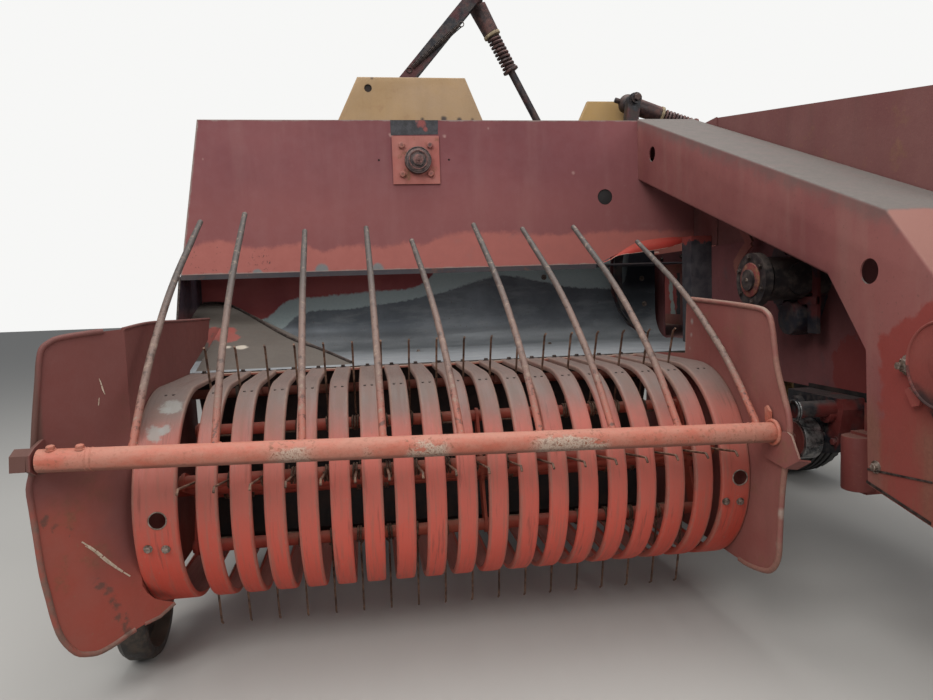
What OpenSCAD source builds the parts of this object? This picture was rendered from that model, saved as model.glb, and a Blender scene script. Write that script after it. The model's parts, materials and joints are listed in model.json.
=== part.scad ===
// Square baler, a whole towed machine. Millimetres, +Z up.
// Design frame: X = 0 is near the pickup's middle, Y = 0 the tine reel's axis, Z = 0 the ground.
// place() shifts everything so that the origin is the middle of the machine's footprint.

/* [Pickup] */
// pitch of the curved stripper bands
band_pitch = 75; // [70:0.5:80]
// width of one stripper band
band_w = 48; // [40:1:56]
// outer radius of the band drum
band_r = 273; // [260:1:285]
// sheet thickness of the bands
band_t = 3; // [2:0.5:5]
// depth of the pressed edges of a band
band_lip = 12; // [6:1:18]
// number of bands between the two end bands
band_count = 17; // [15:2:19]
// width of the wide band at the left end
end_band_l = 97.5; // [85:0.5:110]
// width of the wide band at the right end
end_band_r = 76.5; // [65:0.5:90]
// height of the reel axis above the ground
reel_z = 416; // [400:1:430]
// radius of the tine tips
tine_tip_r = 375; // [340:1:380]
// wire radius of the tines
tine_wire_r = 3; // [2.5:0.1:4]
// radius at which the tine bars run
tine_bar_r = 150; // [130:1:165]
// tube radius of a tine bar
tine_tube_r = 16; // [12:1:20]
// radius of the reel shaft
reel_shaft_r = 20; // [16:0.5:25]
// plate thickness of the side shields
shield_t = 4; // [3:0.5:8]
// radius of the rolled bead on the shields' edges
bead_r = 12; // [8:1:14]
// radius of the pickup's pivot tube
pivot_r = 25; // [20:1:28]
// radius of the gauge wheel
gauge_r = 140; // [120:1:150]
// width of the gauge wheel
gauge_w = 70; // [50:1:80]

/* [Wind guard] */
// tube radius of the wind guard's cross tube
wind_tube_r = 24; // [18:1:28]
// wire radius of the wind guard's long rods
wind_rod_r = 8.5; // [6:0.5:11]
// pitch of the wind guard's rods
wind_pitch = 174; // [170:1:178]

/* [Feed channel and hood] */
// height of the channel floor and the chamber floor
floor_z = 688; // [680:1:700]
// thickness of the channel's and the hood's sheets
sheet_t = 4; // [3:0.5:6]
// clear height of the channel under its ceiling
channel_h = 317; // [300:1:330]
// left end of the channel at its floor
channel_x = 953; // [940:1:960]
// position of the hood's front face
hood_y = 785; // [775:1:800]
// position of the channel's rear sheet
rear_y = 1085; // [1075:1:1100]
// height of the hood's top edge
hood_top = 1560; // [1550:1:1600]
// radius where the channel floor rolls up into the rear sheet
roll_r = 120; // [80:5:140]

/* [Feeder linkage] */
// radius of the two cranks
crank_r = 238; // [200:1:250]
// first crank's centre across the machine
crank_x = -75; // [-90:1:-50]
// distance between the two cranks
crank_gap = 992; // [980:1:1000]
// height of the crank centres
crank_z = 1408; // [1395:1:1420]
// crank angle of the first fork at rest
crank_deg = 84; // [75:1:95]
// distance from the crank pin to the fork's top eye
fork_top = 519; // [510:1:530]
// length of the guide rods
guide_l = 692; // [680:1:710]
// width of the fork arms' box section
arm_w = 52; // [40:1:60]

/* [Bale chamber] */
// inner width of the bale chamber
bale_w = 480; // [460:1:480]
// inner height of the bale chamber
bale_h = 360; // [350:1:380]
// wall thickness of the bale chamber
wall_t = 6; // [4:0.5:8]
// rear end of the bale chamber's walls
wall_end = 1950; // [1900:10:2000]
// rear end of the tension rails
rail_end = 2750; // [2650:10:2850]
// length of the bale chute
chute_l = 560; // [450:10:700]

/* [Running gear] */
// radius of the left tyre
tyre_l_r = 380; // [360:1:400]
// width of the left tyre
tyre_l_w = 230; // [200:1:240]
// radius of the right tyre
tyre_r_r = 330; // [310:1:332]
// width of the right tyre
tyre_r_w = 180; // [160:1:190]
// position of the axle behind the reel
axle_y = 1230; // [1215:1:1260]
// radius of the wheel spindles
spindle_r = 28; // [24:1:32]

/* [Drawbar and drive] */
// length of the drawbar from its pivot to the hitch eye
drawbar_l = 2120; // [2000:10:2250]
// angle of the drawbar at rest, towards the pickup
drawbar_deg = 18; // [15:1:20]
// radius of the drawbar's pivot pin
kingpin_r = 30; // [25:1:35]
// bore radius of the hitch eye
hitch_r = 20; // [16:0.5:22]
// radius of the flywheel
flywheel_r = 300; // [270:1:310]
// radius of the drive shaft's stub
stub_r = 17.46; // [17.46:0.01:17.5]

/* [Hidden] */
$fn = 48;
eps = 0.05;
seat = 0.3;
rc = reel_z;
r_in = band_r - band_t;
pickup_x = -71;
half_bands = (band_count - 1) / 2;
slot_half = band_pitch * (half_bands + 0.5);
end_l = slot_half + 27;
end_r = slot_half + 10;
side_l = end_l + end_band_l;
side_r = end_r + end_band_r;
strip_y = 318;
low_run = 392;
pivot_y = 350;
pivot_z = 630;
tube_y = -384;
tube_l = -side_l - 132;
tube_r = side_r - 13;
ceil_z = floor_z + channel_h;
cx0 = 1032;
cx1 = cx0 + bale_w;
c_mid = (cx0 + cx1) / 2;
roof_z = floor_z + bale_h;
cham_front = -560;
frame_low = 590;
rail_w = 40;
feed_y0 = 720;
feed_y1 = rear_y - 5;
fork_y = 970;
link_dx = 597;
link_dz = 79;
bend = 12;
guard_x = 794;
guard_w = cx0 - wall_t - seat - guard_x;
beam_z0 = 330;
beam_z1 = 420;
king_y = -140;
fly_y = -1190;
fly_z = 760;
lw_x = 1590;
rw_x = -720 - tyre_r_w;
tb_x0 = 500;
tb_x1 = 1000;
tb_y0 = 1150;
tb_y1 = 1670;
tb_z0 = 760;
tb_z1 = 1200;
kn_y0 = 1430;
kn_y1 = 1850;
kn_hinge_y = kn_y0 - 20;
star_y = 2230;
jack_at = 1600;
foot_w = 75;
jack_off = foot_w + 70;
hitch_y = king_y - drawbar_l * cos(drawbar_deg);
wing_tip = 1017.4;
mid_x = (lw_x + tyre_l_w - wing_tip) / 2;
mid_y = (rail_end + 10 + chute_l + hitch_y - 50) / 2;

SCREW_X = [cx0 - 40, cx1 + 40];

// Tine bars: bar angle and tip angle in the reel's plane, 0 to the rear, 90 up.
BARS = [[70, 93], [160, 166], [250, 268], [340, 352]];
// Wind rods: each rod's place against the even pitch, its extra tilt and its lean to the right.
ROD_DX = [0, -9, -3, -5, -6, -1, -5, -20, 2];
ROD_TILT = [2.6, 4.5, 0.7, 1.5, -1.4, 2.4, 1.5, 2, -1.6];
ROD_LEAN = [-1.4, 1.4, 2.2, 1, 3.5, 2.4, 3.3, 2.7, 0];
// A wind rod's centre line from the cross tube's axis, in the reel's plane.
ROD_PATH = [[0, 10], [32, 47], [84, 107], [152, 175], [234, 242], [324, 308], [444, 382], [579, 454],
    [714, 525]];
RIGHT_EDGE = [[50, 865], [-301, 843], [-356, 816], [-381, 711], [-429, 598], [-433, 550],
    [-417, 485], [-398, 358], [-390, 254], [-339, 197], [-262, 182], [-215, 180]];
LEFT_EDGE = [[650, 846], [253, 851], [-36, 855], [-230, 848]];
// The flared wing's edge: distance along the wing from the side plate, and height.
WING_EDGE = [[0, 848], [130, 836], [154, 827], [169, 814], [181, 752], [192, 670], [205, 568],
    [215, 528], [213, 485], [206, 344], [188, 240], [176, 192], [149, 148], [124, 133], [100, 128],
    [68, 136], [35, 149], [0, 162]];
// Outline of the ramp over the channel's left rear corner, seen from above.
RAMP = [[-822, 300], [-297, 300], [-828, 1044], [-952.7, 1084], [-952.7, 770], [-822, 770]];
RAMP_IN = [[-817, 300], [-303, 300], [-831, 1039], [-845, 1100], [-960, 1100], [-960, 775],
    [-817, 775]];

function unit(v) = v / norm(v);
function ring_pt(c, s, b, r, a) = c + r * (cos(a) * s + sin(a) * b);
function on_circle(c, r, a) = [c[0] + r * cos(a), c[1] + r * sin(a)];
function crank_c(k) = [crank_x + k * crank_gap, crank_z];
function crank_pin(k) = on_circle(crank_c(k), crank_r, crank_deg + 180 * k);
function anchor(k) = crank_c(k) + [link_dx, link_dz];
// where two circles meet: the fork's top eye, left of the line from a to b
function meet(a, ra, b, rb) =
    let (d = norm(b - a), u = (b - a) / d, h = (d * d + ra * ra - rb * rb) / (2 * d))
    a + h * u + sqrt(ra * ra - h * h) * [-u[1], u[0]];
function apex(k) = meet(crank_pin(k), fork_top, anchor(k), guide_l);
// point of the wind guard's cross tube, which runs a little lower to the right
function on_tube(x) = [x, tube_y, 569.4 - 0.02418 * x];
function dir_deg(a, b) = atan2(b[1] - a[1], b[0] - a[0]);

module place() {
    translate([-mid_x, -mid_y, 0]) children();
}

// the pickup stands a little to the right of the design frame's middle
module on_pickup() {
    place() translate([pickup_x, 0, 0]) children();
}

module box(lo, hi) {
    translate(lo) cube(hi - lo);
}

// plate whose outline is given as (Y, Z), from x0 on for w
module slab_x(x0, w) {
    translate([x0, 0, 0]) rotate([90, 0, 90]) linear_extrude(w) children();
}

// plate whose outline is given as (X, Z), from y0 on for w
module slab_y(y0, w) {
    translate([0, y0 + w, 0]) rotate([90, 0, 0]) linear_extrude(w) children();
}

module pin_x(x0, x1, y, z, r) {
    translate([x0, y, z]) rotate([0, 90, 0]) cylinder(r = r, h = x1 - x0);
}

module pin_y(x, y0, y1, z, r) {
    translate([x, y1, z]) rotate([90, 0, 0]) cylinder(r = r, h = y1 - y0);
}

module bar(a, b, r) {
    d = b - a;
    translate(a) rotate([0, acos(d[2] / norm(d)), atan2(d[1], d[0])]) cylinder(r = r, h = norm(d));
}

// flat bar with round ends between two points of a plane; its sides run a hair inside the tangents
module bar2d(a, b, w) {
    translate(a) rotate(dir_deg(a, b)) translate([0, eps - w / 2]) square([norm(b - a), w - 2 * eps]);
    translate(a) circle(w / 2);
    translate(b) circle(w / 2);
}

// round wire along points, n sided; ref is a direction across the path; split cuts its sides in two
module wire(p, r, n, ref, split = false) {
    m = len(p);
    t = [for (i = [0:m - 1]) unit(p[min(i + 1, m - 1)] - p[max(i - 1, 0)])];
    s = [for (i = [0:m - 1]) unit(cross(ref, t[i]))];
    b = [for (i = [0:m - 1]) cross(t[i], s[i])];
    pts = [for (i = [0:m - 1], j = [0:n - 1]) ring_pt(p[i], s[i], b[i], r, 360 * j / n)];
    quad = [for (i = [0:m - 2], j = [0:n - 1])
        [i * n + j, (i + 1) * n + j, (i + 1) * n + (j + 1) % n, i * n + (j + 1) % n]];
    side = split ? [for (q = quad, k = [1, 2]) [q[0], q[k], q[k + 1]]] : quad;
    cap0 = [for (j = [0:n - 1]) j];
    cap1 = [for (j = [n - 1:-1:0]) (m - 1) * n + j];
    polyhedron(points = pts, faces = concat(side, [cap0], [cap1]));
}

// rolled edge along an outline given in a plane, x0 across it
module bead(path, x0, r) {
    wire([for (q = path) [x0, q[0], q[1]]], r, 8, [1, 0, 0]);
}

// one band's side profile: top run, front arc and low run, between two radii
module band2d(r0, r1, top_end, low_end) {
    translate([0, r0]) square([top_end, r1 - r0]);
    translate([0, -r1]) square([low_end, r1 - r0]);
    intersection() {
        difference() {
            circle(r1, $fn = 96);
            circle(r0, $fn = 96);
        }
        translate([-2 * r1, -2 * r1]) square([2 * r1, 4 * r1]);
    }
}

module band(x0, w) {
    translate([x0, 0, rc]) rotate([90, 0, 90]) {
        linear_extrude(w) band2d(r_in, band_r, strip_y, low_run);
        for (z = [0, w - band_t]) translate([0, 0, z]) linear_extrude(band_t)
            band2d(band_r - band_lip, band_r - band_t / 2, strip_y - 36, low_run - 44);
    }
}

// Pickup: curved stripper bands

module stripper_bands() color([0.70, 0.29, 0.22]) on_pickup() {
    for (i = [-half_bands:half_bands]) band(i * band_pitch - band_w / 2, band_w);
    // wide bands at the two ends
    difference() {
        band(seat - side_l, side_l - seat - end_l);
        pin_y(55 - side_l, -band_r - 20, -band_r + 30, rc, 19);
    }
    difference() {
        band(end_r, side_r - seat - end_r);
        pin_y(side_r - 30, -band_r - 20, -band_r + 30, rc, 19);
    }
}

module pickup_frame() color([0.55, 0.20, 0.18]) on_pickup() {
    x0 = seat - side_l;
    x1 = side_r - seat;
    // rear cross angle under the bands' top ends
    box([x0, strip_y - 32, rc + r_in - 5 - seat], [x1, strip_y, rc + r_in - seat]);
    box([x0, strip_y - 1, rc + r_in - 30], [x1, strip_y + 3, rc + r_in - seat]);
    // low cross angle inside the bands' low ends
    box([x0, low_run - 40, rc - r_in + seat], [x1, low_run, rc - r_in + 6]);
    box([x0, low_run - 6, rc - r_in + seat], [x1, low_run, rc - r_in + 46]);
    // pivot tube and its ribs
    pin_x(x0, x1, pivot_y, pivot_z, pivot_r);
    for (x = [-560, -190, 180, 560]) box([x, strip_y - 1, pivot_z - 15], [x + 8, pivot_y, rc + r_in - 8]);
}

module side_outline_right() {
    polygon(concat(RIGHT_EDGE, [[405, 172], [405, 400], [385, 600], [385, 655], [340, 666],
        [300, 690], [88, 704], [78, 848]]));
}

module side_outline_left() {
    polygon(concat(LEFT_EDGE, [[-230, 168], [-150, 160], [-74, 125], [-30, 116], [20, 116], [80, 172],
        [405, 172], [405, 400], [385, 600], [385, 655], [340, 666], [318, 676], [335, 697],
        [529, 750], [600, 776]]));
}

module shield_right() color([0.60, 0.22, 0.20]) on_pickup() {
    z = on_tube(side_r)[2];
    difference() {
        union() {
            slab_x(side_r, shield_t) side_outline_right();
            bead(concat([[58, 865.6]], RIGHT_EDGE, [[-205, 179.7]]), side_r + shield_t / 2, bead_r);
            // reel bearing housing
            pin_x(side_r + 1, side_r + 26, 0, rc, 45);
            // wind guard's bracket plate
            slab_x(side_r - 6, 8) bar2d([tube_y, z], [tube_y + 80, z - 20], 76);
        }
        pin_x(side_r - 20, side_r + 40, 0, rc, reel_shaft_r + eps);
    }
    bar(on_tube(tube_r - 40), on_tube(side_r + 2), 12);
}

module wing() {
    translate([-side_l - 2, -230, 0]) rotate([0, 0, 217.5]) {
        translate([0, shield_t / 2, 0]) rotate([90, 0, 0]) linear_extrude(shield_t) polygon(WING_EDGE);
        wire([for (q = WING_EDGE) [max(q[0], 10), 0, q[1]]], bead_r, 8, [0, 1, 0]);
    }
}

module shield_left() color([0.66, 0.23, 0.17]) on_pickup() {
    z = on_tube(tube_l)[2];
    difference() {
        union() {
            slab_x(-side_l - shield_t, shield_t) side_outline_left();
            pin_x(-side_l - 26, -side_l - 1, 0, rc, 45);
            wing();
            // wind guard's bracket plate
            slab_x(tube_l - 14, 8) bar2d([tube_y, z], [tube_y + 44, z + 26], 50);
            // gauge wheel's arm
            box([-side_l - 16, -90, gauge_r - 20], [-side_l - 1, 10, 260]);
        }
        pin_x(-side_l - 40, -side_l + 20, 0, rc, reel_shaft_r + eps);
    }
    bar(on_tube(tube_l - 10), on_tube(tube_l + 40), 12);
    pin_x(-side_l - 20 - gauge_w - 8, -side_l - 10, -40, gauge_r, 14);
}

module gauge_wheel() color([0.75, 0.66, 0.40]) on_pickup() {
    x0 = -side_l - 20 - gauge_w;
    difference() {
        translate([x0, -40, gauge_r]) rotate([0, 90, 0]) rotate_extrude($fn = 64)
            polygon([[14 + eps, 4], [34, 4], [40, 26], [gauge_r - 34, 26], [gauge_r - 26, 0],
                [gauge_r - 8, 0], [gauge_r, 12], [gauge_r, gauge_w - 12], [gauge_r - 8, gauge_w],
                [gauge_r - 26, gauge_w], [gauge_r - 34, 34], [40, 34], [34, gauge_w - 2],
                [14 + eps, gauge_w - 2]]);
    }
}

// Reel: shaft, spiders and four tine bars

module reel_core() color([0.62, 0.16, 0.12]) on_pickup() {
    pin_x(-side_l - 30, side_r + 62, 0, rc, reel_shaft_r);
    for (b = BARS) {
        q = on_circle([0, rc], tine_bar_r, b[0]);
        pin_x(-slot_half - 50, slot_half + 50, q[0], q[1], tine_tube_r);
    }
    for (x = [-slot_half - 44, band_pitch - 4, slot_half + 36]) slab_x(x, 8) {
        for (b = BARS) bar2d([0, rc], on_circle([0, rc], tine_bar_r, b[0]), 44);
        translate([0, rc]) circle(42);
    }
    // drive sheave outside the right shield
    translate([side_r + 30, 0, rc]) rotate([0, 90, 0]) rotate_extrude($fn = 64)
        polygon([[reel_shaft_r - 1, 0], [110, 0], [98, 12], [110, 24], [reel_shaft_r - 1, 24]]);
}

// one tine: from its bar out to the tip, bent like a finger
module tine(x, ba, ta) {
    b0 = on_circle([0, rc], tine_bar_r + tine_tube_r + 7, ba);
    b1 = on_circle([0, rc], tine_bar_r + 95, ba + (ta - ba) * 0.55);
    b2 = on_circle([0, rc], tine_tip_r, ta);
    path = [for (u = [0:0.2:1]) let (q = b0 * (1 - u) * (1 - u) + 2 * b1 * u * (1 - u) + b2 * u * u)
        [x, q[0], q[1]]];
    wire(path, tine_wire_r, 6, [1, 0, 0]);
}

// spring coil of one tine round its bar
module coil(x, c) {
    r0 = tine_tube_r + seat;
    w = tine_wire_r;
    translate([x, c[0], c[1]]) rotate([0, 90, 0]) rotate_extrude($fn = 32)
        polygon([[r0, -3 * w], [r0 + w, -3 * w], [r0 + 2 * w, -2 * w], [r0 + w, -w],
            [r0 + 2 * w, 0], [r0 + w, w], [r0 + 2 * w, 2 * w], [r0 + w, 3 * w], [r0, 3 * w]]);
}

module reel_tines() color([0.40, 0.33, 0.28]) on_pickup() {
    for (b = BARS) {
        c = on_circle([0, rc], tine_bar_r, b[0]);
        for (i = [0:band_count]) {
            x = (i - half_bands - 0.5) * band_pitch;
            tine(x, b[0], b[1]);
            coil(x, c);
        }
        for (i = [0:2:band_count]) {
            x = (i - half_bands - 0.5) * band_pitch;
            q = on_circle(c, tine_tube_r + seat + tine_wire_r, b[0] + 150);
            pin_x(x, x + band_pitch, q[0], q[1], tine_wire_r);
        }
    }
}

// Wind guard

module wind_tube() color([0.80, 0.45, 0.35]) on_pickup() {
    difference() {
        bar(on_tube(tube_l), on_tube(tube_r), wind_tube_r);
        bar(on_tube(tube_l - 1), on_tube(tube_l + 60), 12 + eps);
        bar(on_tube(tube_r - 60), on_tube(tube_r + 1), 12 + eps);
    }
}

module wind_rods() color([0.45, 0.28, 0.22]) on_pickup() difference() {
    for (i = [0:8]) translate(on_tube(wind_pitch * (i - 4) - 19 + ROD_DX[i]))
        rotate([ROD_TILT[i], 0, ROD_LEAN[i]])
            wire([for (q = ROD_PATH) [0, q[0], q[1]]], wind_rod_r, 8, [1, 0, 0]);
    bar(on_tube(tube_l), on_tube(tube_r), wind_tube_r + seat);
}

// Feed channel: floor, left wall, rolled rear sheet and ceiling

module channel_floor() color([0.45, 0.20, 0.18]) place() {
    y1 = rear_y - roll_r;
    box([-channel_x, 345, floor_z - sheet_t], [cx0 - wall_t - seat, y1 - seat, floor_z]);
    // cross beam under the floor, with the pickup's pivot ears
    box([-channel_x, 440, frame_low + 14], [cx0 - wall_t - seat, 500, floor_z - sheet_t]);
    for (x = [-700, 600]) difference() {
        slab_x(x, 10) bar2d([pivot_y, pivot_z], [455, pivot_z + 8], 2 * pivot_r + 14);
        pin_x(x - 1, x + 11, pivot_y, pivot_z, pivot_r + eps);
    }
    difference() {
        ramp(0, RAMP);
        ramp(4, RAMP_IN);
    }
}

// ramp over the channel's left rear corner, lowered by d
module ramp(d, outline) intersection() {
    slab_x(-channel_x - 20, 700) polygon(concat([[342 + 4 * d, floor_z - 1], [955, floor_z - 1 - d]],
        [for (a = [-72:18:0]) on_circle([rear_y - roll_r, floor_z + roll_r], roll_r - seat + d, a)],
        [[rear_y - seat + d, floor_z + 215 - 0.9 * d]]));
    linear_extrude(1000) polygon(outline);
}

module channel_rear() color([0.32, 0.34, 0.38]) place() {
    y1 = rear_y - roll_r;
    // rolled sheet from the floor up the rear
    slab_x(-channel_x, channel_x + 987) {
        translate([y1, floor_z + roll_r]) intersection() {
            difference() {
                circle(roll_r + sheet_t, $fn = 96);
                circle(roll_r, $fn = 96);
            }
            translate([0, -2 * roll_r]) square([2 * roll_r, 2 * roll_r]);
        }
        translate([rear_y, floor_z + roll_r]) square([sheet_t, 1400 - floor_z - roll_r]);
    }
    // left wall, with its flanged front edge
    slab_x(-channel_x - sheet_t, sheet_t) polygon([[711, floor_z - sheet_t], [711, 840],
        [hood_y, ceil_z - sheet_t - seat], [rear_y + sheet_t, ceil_z - sheet_t - seat],
        [rear_y + sheet_t, floor_z - sheet_t]]);
}

module channel_roof() color([0.36, 0.18, 0.17]) place() {
    z0 = ceil_z - sheet_t;
    box([-channel_x, hood_y, z0], [cx0 - wall_t - seat, fork_y - 42, ceil_z]);
    box([-channel_x, fork_y + 42, z0], [987, rear_y, ceil_z]);
    // lip along the front edge
    box([-channel_x, hood_y - sheet_t, z0 - 14], [613, hood_y, ceil_z - seat]);
}

// Feeder hood

module hood() color([0.50, 0.27, 0.28]) place() {
    difference() {
        slab_y(hood_y, sheet_t) polygon([[-channel_x, ceil_z + seat], [623, ceil_z + seat],
            [735, ceil_z + 52], [cx0 - wall_t - seat, ceil_z + 98], [cx0 - wall_t - seat, hood_top],
            [-864, hood_top]]);
        pin_y(657, hood_y - 5, hood_y + 10, 1266, 30);
        for (x = [crank_x - 145, crank_x + 119]) pin_y(x, hood_y - 5, hood_y + 10, crank_z + 5, 4);
        pin_y(crank_x, hood_y - 5, hood_y + 10, crank_z, 40);
    }
    box([-864, hood_y + 1, hood_top - sheet_t], [cx0 - wall_t - seat, hood_y + 26, hood_top]);
    // left end
    slab_y(hood_y + 1, rear_y - hood_y - 1 - seat) polygon([[-channel_x, ceil_z + seat],
        [-channel_x + sheet_t, ceil_z + seat], [-864 + sheet_t, hood_top], [-864, hood_top]]);
}

module crank_guards() color([0.66, 0.54, 0.40]) place() {
    for (k = [0, 1]) translate([crank_c(k)[0], hood_y + 2, hood_top]) {
        difference() {
            slab_y(0, 60) polygon([[-289, 0], [255, 0], [191, 157], [-212, 157]]);
            slab_y(4, 60) polygon([[-285, -1], [251, -1], [188, 153], [-209, 153]]);
            pin_y(-174, -5, 10, 116, 14);
        }
    }
}

// Feeder linkage: cranks, forks and sprung guide rods

module feeder_cranks() color([0.18, 0.16, 0.16]) place() {
    // square bearing plate on the hood's face
    px = crank_x - 6;
    difference() {
        box([px - 88, hood_y - 6 - seat, crank_z - 85], [px + 88, hood_y - seat, crank_z + 92]);
        for (a = [-1, 1], b = [-1, 1]) pin_y(px + 68 * a, hood_y - 10, hood_y, crank_z + 3 + 68 * b, 7);
    }
    for (k = [0, 1]) {
        c = crank_c(k);
        pin_y(c[0], hood_y - (k == 0 ? 40 : -seat - sheet_t), 930, crank_z, 22);
        if (k == 0) pin_y(c[0], hood_y - 28, hood_y - 5, crank_z, 48);
        slab_y(900, 26) {
            bar2d(c, crank_pin(k), 64);
            translate(c) circle(60);
        }
        pin_y(crank_pin(k)[0], 900, 998, crank_pin(k)[1], 20);
    }
}

// Fork in its own plane: the top eye at 0, the beam along +x, the tines bent to +z.
module fork(k) {
    p = [fork_top * cos(bend), fork_top * sin(bend)];
    a = apex(k);
    turn = dir_deg(a, crank_pin(k)) - bend;
    tine_l = [[560, 0], [700, 4], [800, 20], [880, 60], [935, 112], [962, 160]];
    translate([a[0], 0, a[1]]) rotate([0, -turn, 0]) {
        difference() {
            union() {
                slab_y(fork_y - 22, 44) bar2d([0, 0], [640, 0], arm_w);
                slab_y(fork_y - 22, 44) polygon([[p[0] - 95, 10], [p[0] + 75, 10], p + [34, 0],
                    p + [24, 24], p + [0, 34], p + [-24, 24], p + [-34, 0]]);
            }
            pin_y(p[0], fork_y - 30, fork_y + 30, p[1], 20 + seat);
            pin_y(0, fork_y - 30, fork_y + 30, 0, 16);
        }
        for (y = [fork_y - 27, fork_y + 13]) translate([0, y, 0])
            slab_y(0, 14) polygon([for (q = tine_l) q + [0, -16],
                for (i = [5:-1:0]) tine_l[i] + [0, 22 - i * 3]]);
    }
}

module feeder_forks() color([0.16, 0.14, 0.14]) place() {
    fork(0);
    fork(1);
}

// guide rod with its compression spring and anchor post
module guide(k) {
    a = apex(k);
    n = anchor(k);
    turn = dir_deg(a, n);
    l = norm(n - a);
    pin_y(a[0], fork_y - 40, fork_y + 76, a[1], 16 - seat);
    translate([a[0], fork_y + 60, a[1]]) rotate([0, -turn, 0]) {
        rotate([0, 90, 0]) cylinder(r = 13, h = l);
        translate([60, 0, 0]) rotate([0, 90, 0]) cylinder(r = 30, h = 130);
        translate([430, 0, 0]) rotate([0, 90, 0]) cylinder(r = 34, h = 14);
        translate([0, -14, 0]) slab_y(0, 28) circle(34);
        translate([l, -14, 0]) slab_y(0, 28) circle(34);
    }
    pin_y(n[0], fork_y + 20, rear_y + 30, n[1], 16);
}

module guide_rods() color([0.20, 0.16, 0.15]) place() {
    guide(0);
    guide(1);
    // post of the first guide rod on the rear sheet
    n = anchor(0);
    slab_y(rear_y + sheet_t + seat, 14) polygon([[n[0] - 90, 1180], [n[0] + 90, 1180],
        [n[0] + 36, n[1] + 36], [n[0] - 36, n[1] + 36]]);
    // post of the second one on the chamber roof
    m = anchor(1);
    slab_y(rear_y + 12, 16) polygon([[cx1 - 200, roof_z + wall_t + seat], [cx1, roof_z + wall_t + seat],
        [m[0] + 30, m[1] + 36], [m[0] - 40, m[1] + 36]]);
    box([cx1 - 200, rear_y - 60, roof_z + wall_t + seat], [cx1, rear_y + 100, roof_z + wall_t + 10]);
}

module guide_springs() color([0.14, 0.12, 0.12]) place() {
    for (k = [0, 1]) {
        a = apex(k);
        n = anchor(k);
        translate([a[0], fork_y + 60, a[1]]) rotate([0, -dir_deg(a, n), 0])
            wire([for (i = [0:90]) [195.4 + i * 2.547, 24 * cos(36 * i), 24 * sin(36 * i)]], 5, 5,
                [1, 0, 0], true);
    }
}

// Drive guard and front housing

module drive_guard() color([0.49, 0.28, 0.28]) place() {
    y1 = hood_y - seat;
    difference() {
        slab_x(guard_x, guard_w) polygon([[y1, 1330], [y1, 1566], [-552, 1050], [-684, 905],
            [-960, 640], [-960, 400], [-690, 410], [-509, 448], [-498, 748], [-478, 814]]);
        slab_x(guard_x + sheet_t, guard_w - 2 * sheet_t) polygon([[y1 - 4, 1306], [y1 - 4, 1560],
            [-549, 1046], [-681, 901], [-956, 637], [-956, 390], [-690, 400], [-503, 436],
            [-492, 748], [-474, 804]]);
        pin_x(guard_x - 5, guard_x + 10, 647, 1403, 28);
        pin_x(guard_x - 5, guard_x + 10, -505, 921, 28);
        // room for the drawbar
        box([guard_x + 40, -1000, 380], [cx0, -640, 470]);
    }
    // round cap on the lower front
    translate([guard_x - 26, -730, 736]) rotate([0, 90, 0]) difference() {
        cylinder(r = 88, h = 28);
        translate([0, 0, -1]) cylinder(r = 79, h = 7);
    }
}

module front_housing() color([0.55, 0.22, 0.20]) place() {
    z0 = roof_z + wall_t + seat;
    difference() {
        slab_x(cx0, bale_w) polygon([[620, z0], [620, 1529], [-403, 1349], [cham_front, 1245],
            [cham_front, z0]]);
        slab_x(cx0 + sheet_t, bale_w - 2 * sheet_t) polygon([[700, z0 - 1], [700, 1539], [-401, 1345],
            [cham_front + sheet_t, 1243], [cham_front + sheet_t, z0 - 1]]);
    }
}

// Bale chamber

module chamber_floor() color([0.38, 0.30, 0.28]) place() {
    box([cx0, cham_front, floor_z - sheet_t], [cx1, wall_end, floor_z]);
    for (x = [cx0 - wall_t, cx1 + wall_t - rail_w])
        box([x, -900, frame_low], [x + rail_w, wall_end, floor_z - sheet_t]);
    // front cross member, and the kingpin with its lower yoke
    box([cx0 - wall_t + rail_w, king_y - 90, frame_low],
        [cx1 + wall_t - rail_w, king_y + 90, frame_low + 30]);
    translate([c_mid, king_y, beam_z0 - 25]) cylinder(r = kingpin_r, h = frame_low - beam_z0 + 26);
    box([c_mid - 60, king_y - 60, beam_z0 - 34], [c_mid + 60, king_y + 90, beam_z0 - 20 - seat]);
    box([c_mid - 60, king_y + 72, beam_z0 - 34], [c_mid + 60, king_y + 90, frame_low + 1]);
}

module chamber_roof() color([0.50, 0.22, 0.20]) place() {
    z0 = roof_z + wall_t;
    box([cx0, cham_front, roof_z], [cx1, wall_end, z0]);
    // ears and pins of the knotter cover's hinge
    for (x = [cx0 + 61, cx1 - 73]) translate([0, kn_hinge_y, z0]) slab_x(x, 12)
        polygon([[-16, -1], [12, -1], [12, 21], [5, 28], [-5, 28], [-12, 21]]);
    pin_x(cx0 + 62, cx0 + 110, kn_hinge_y, z0 + 16, 7);
    pin_x(cx1 - 110, cx1 - 62, kn_hinge_y, z0 + 16, 7);
}

module wall_near() color([0.55, 0.23, 0.20]) place() {
    difference() {
        box([cx0 - wall_t, cham_front, floor_z - sheet_t], [cx0, wall_end, roof_z + wall_t]);
        box([cx0 - wall_t - 1, feed_y0, floor_z - 10], [cx0 + 1, feed_y1, ceil_z - sheet_t]);
    }
}

module feed_post() color([0.22, 0.22, 0.24]) place() {
    box([cx0 - wall_t - 82, feed_y0 - 80, floor_z + seat], [cx0 - wall_t - seat, feed_y0, ceil_z + 90]);
}

module wall_far() color([0.55, 0.23, 0.20]) place() {
    box([cx1, cham_front, floor_z - sheet_t], [cx1 + wall_t, wall_end, roof_z + wall_t]);
}

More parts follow.
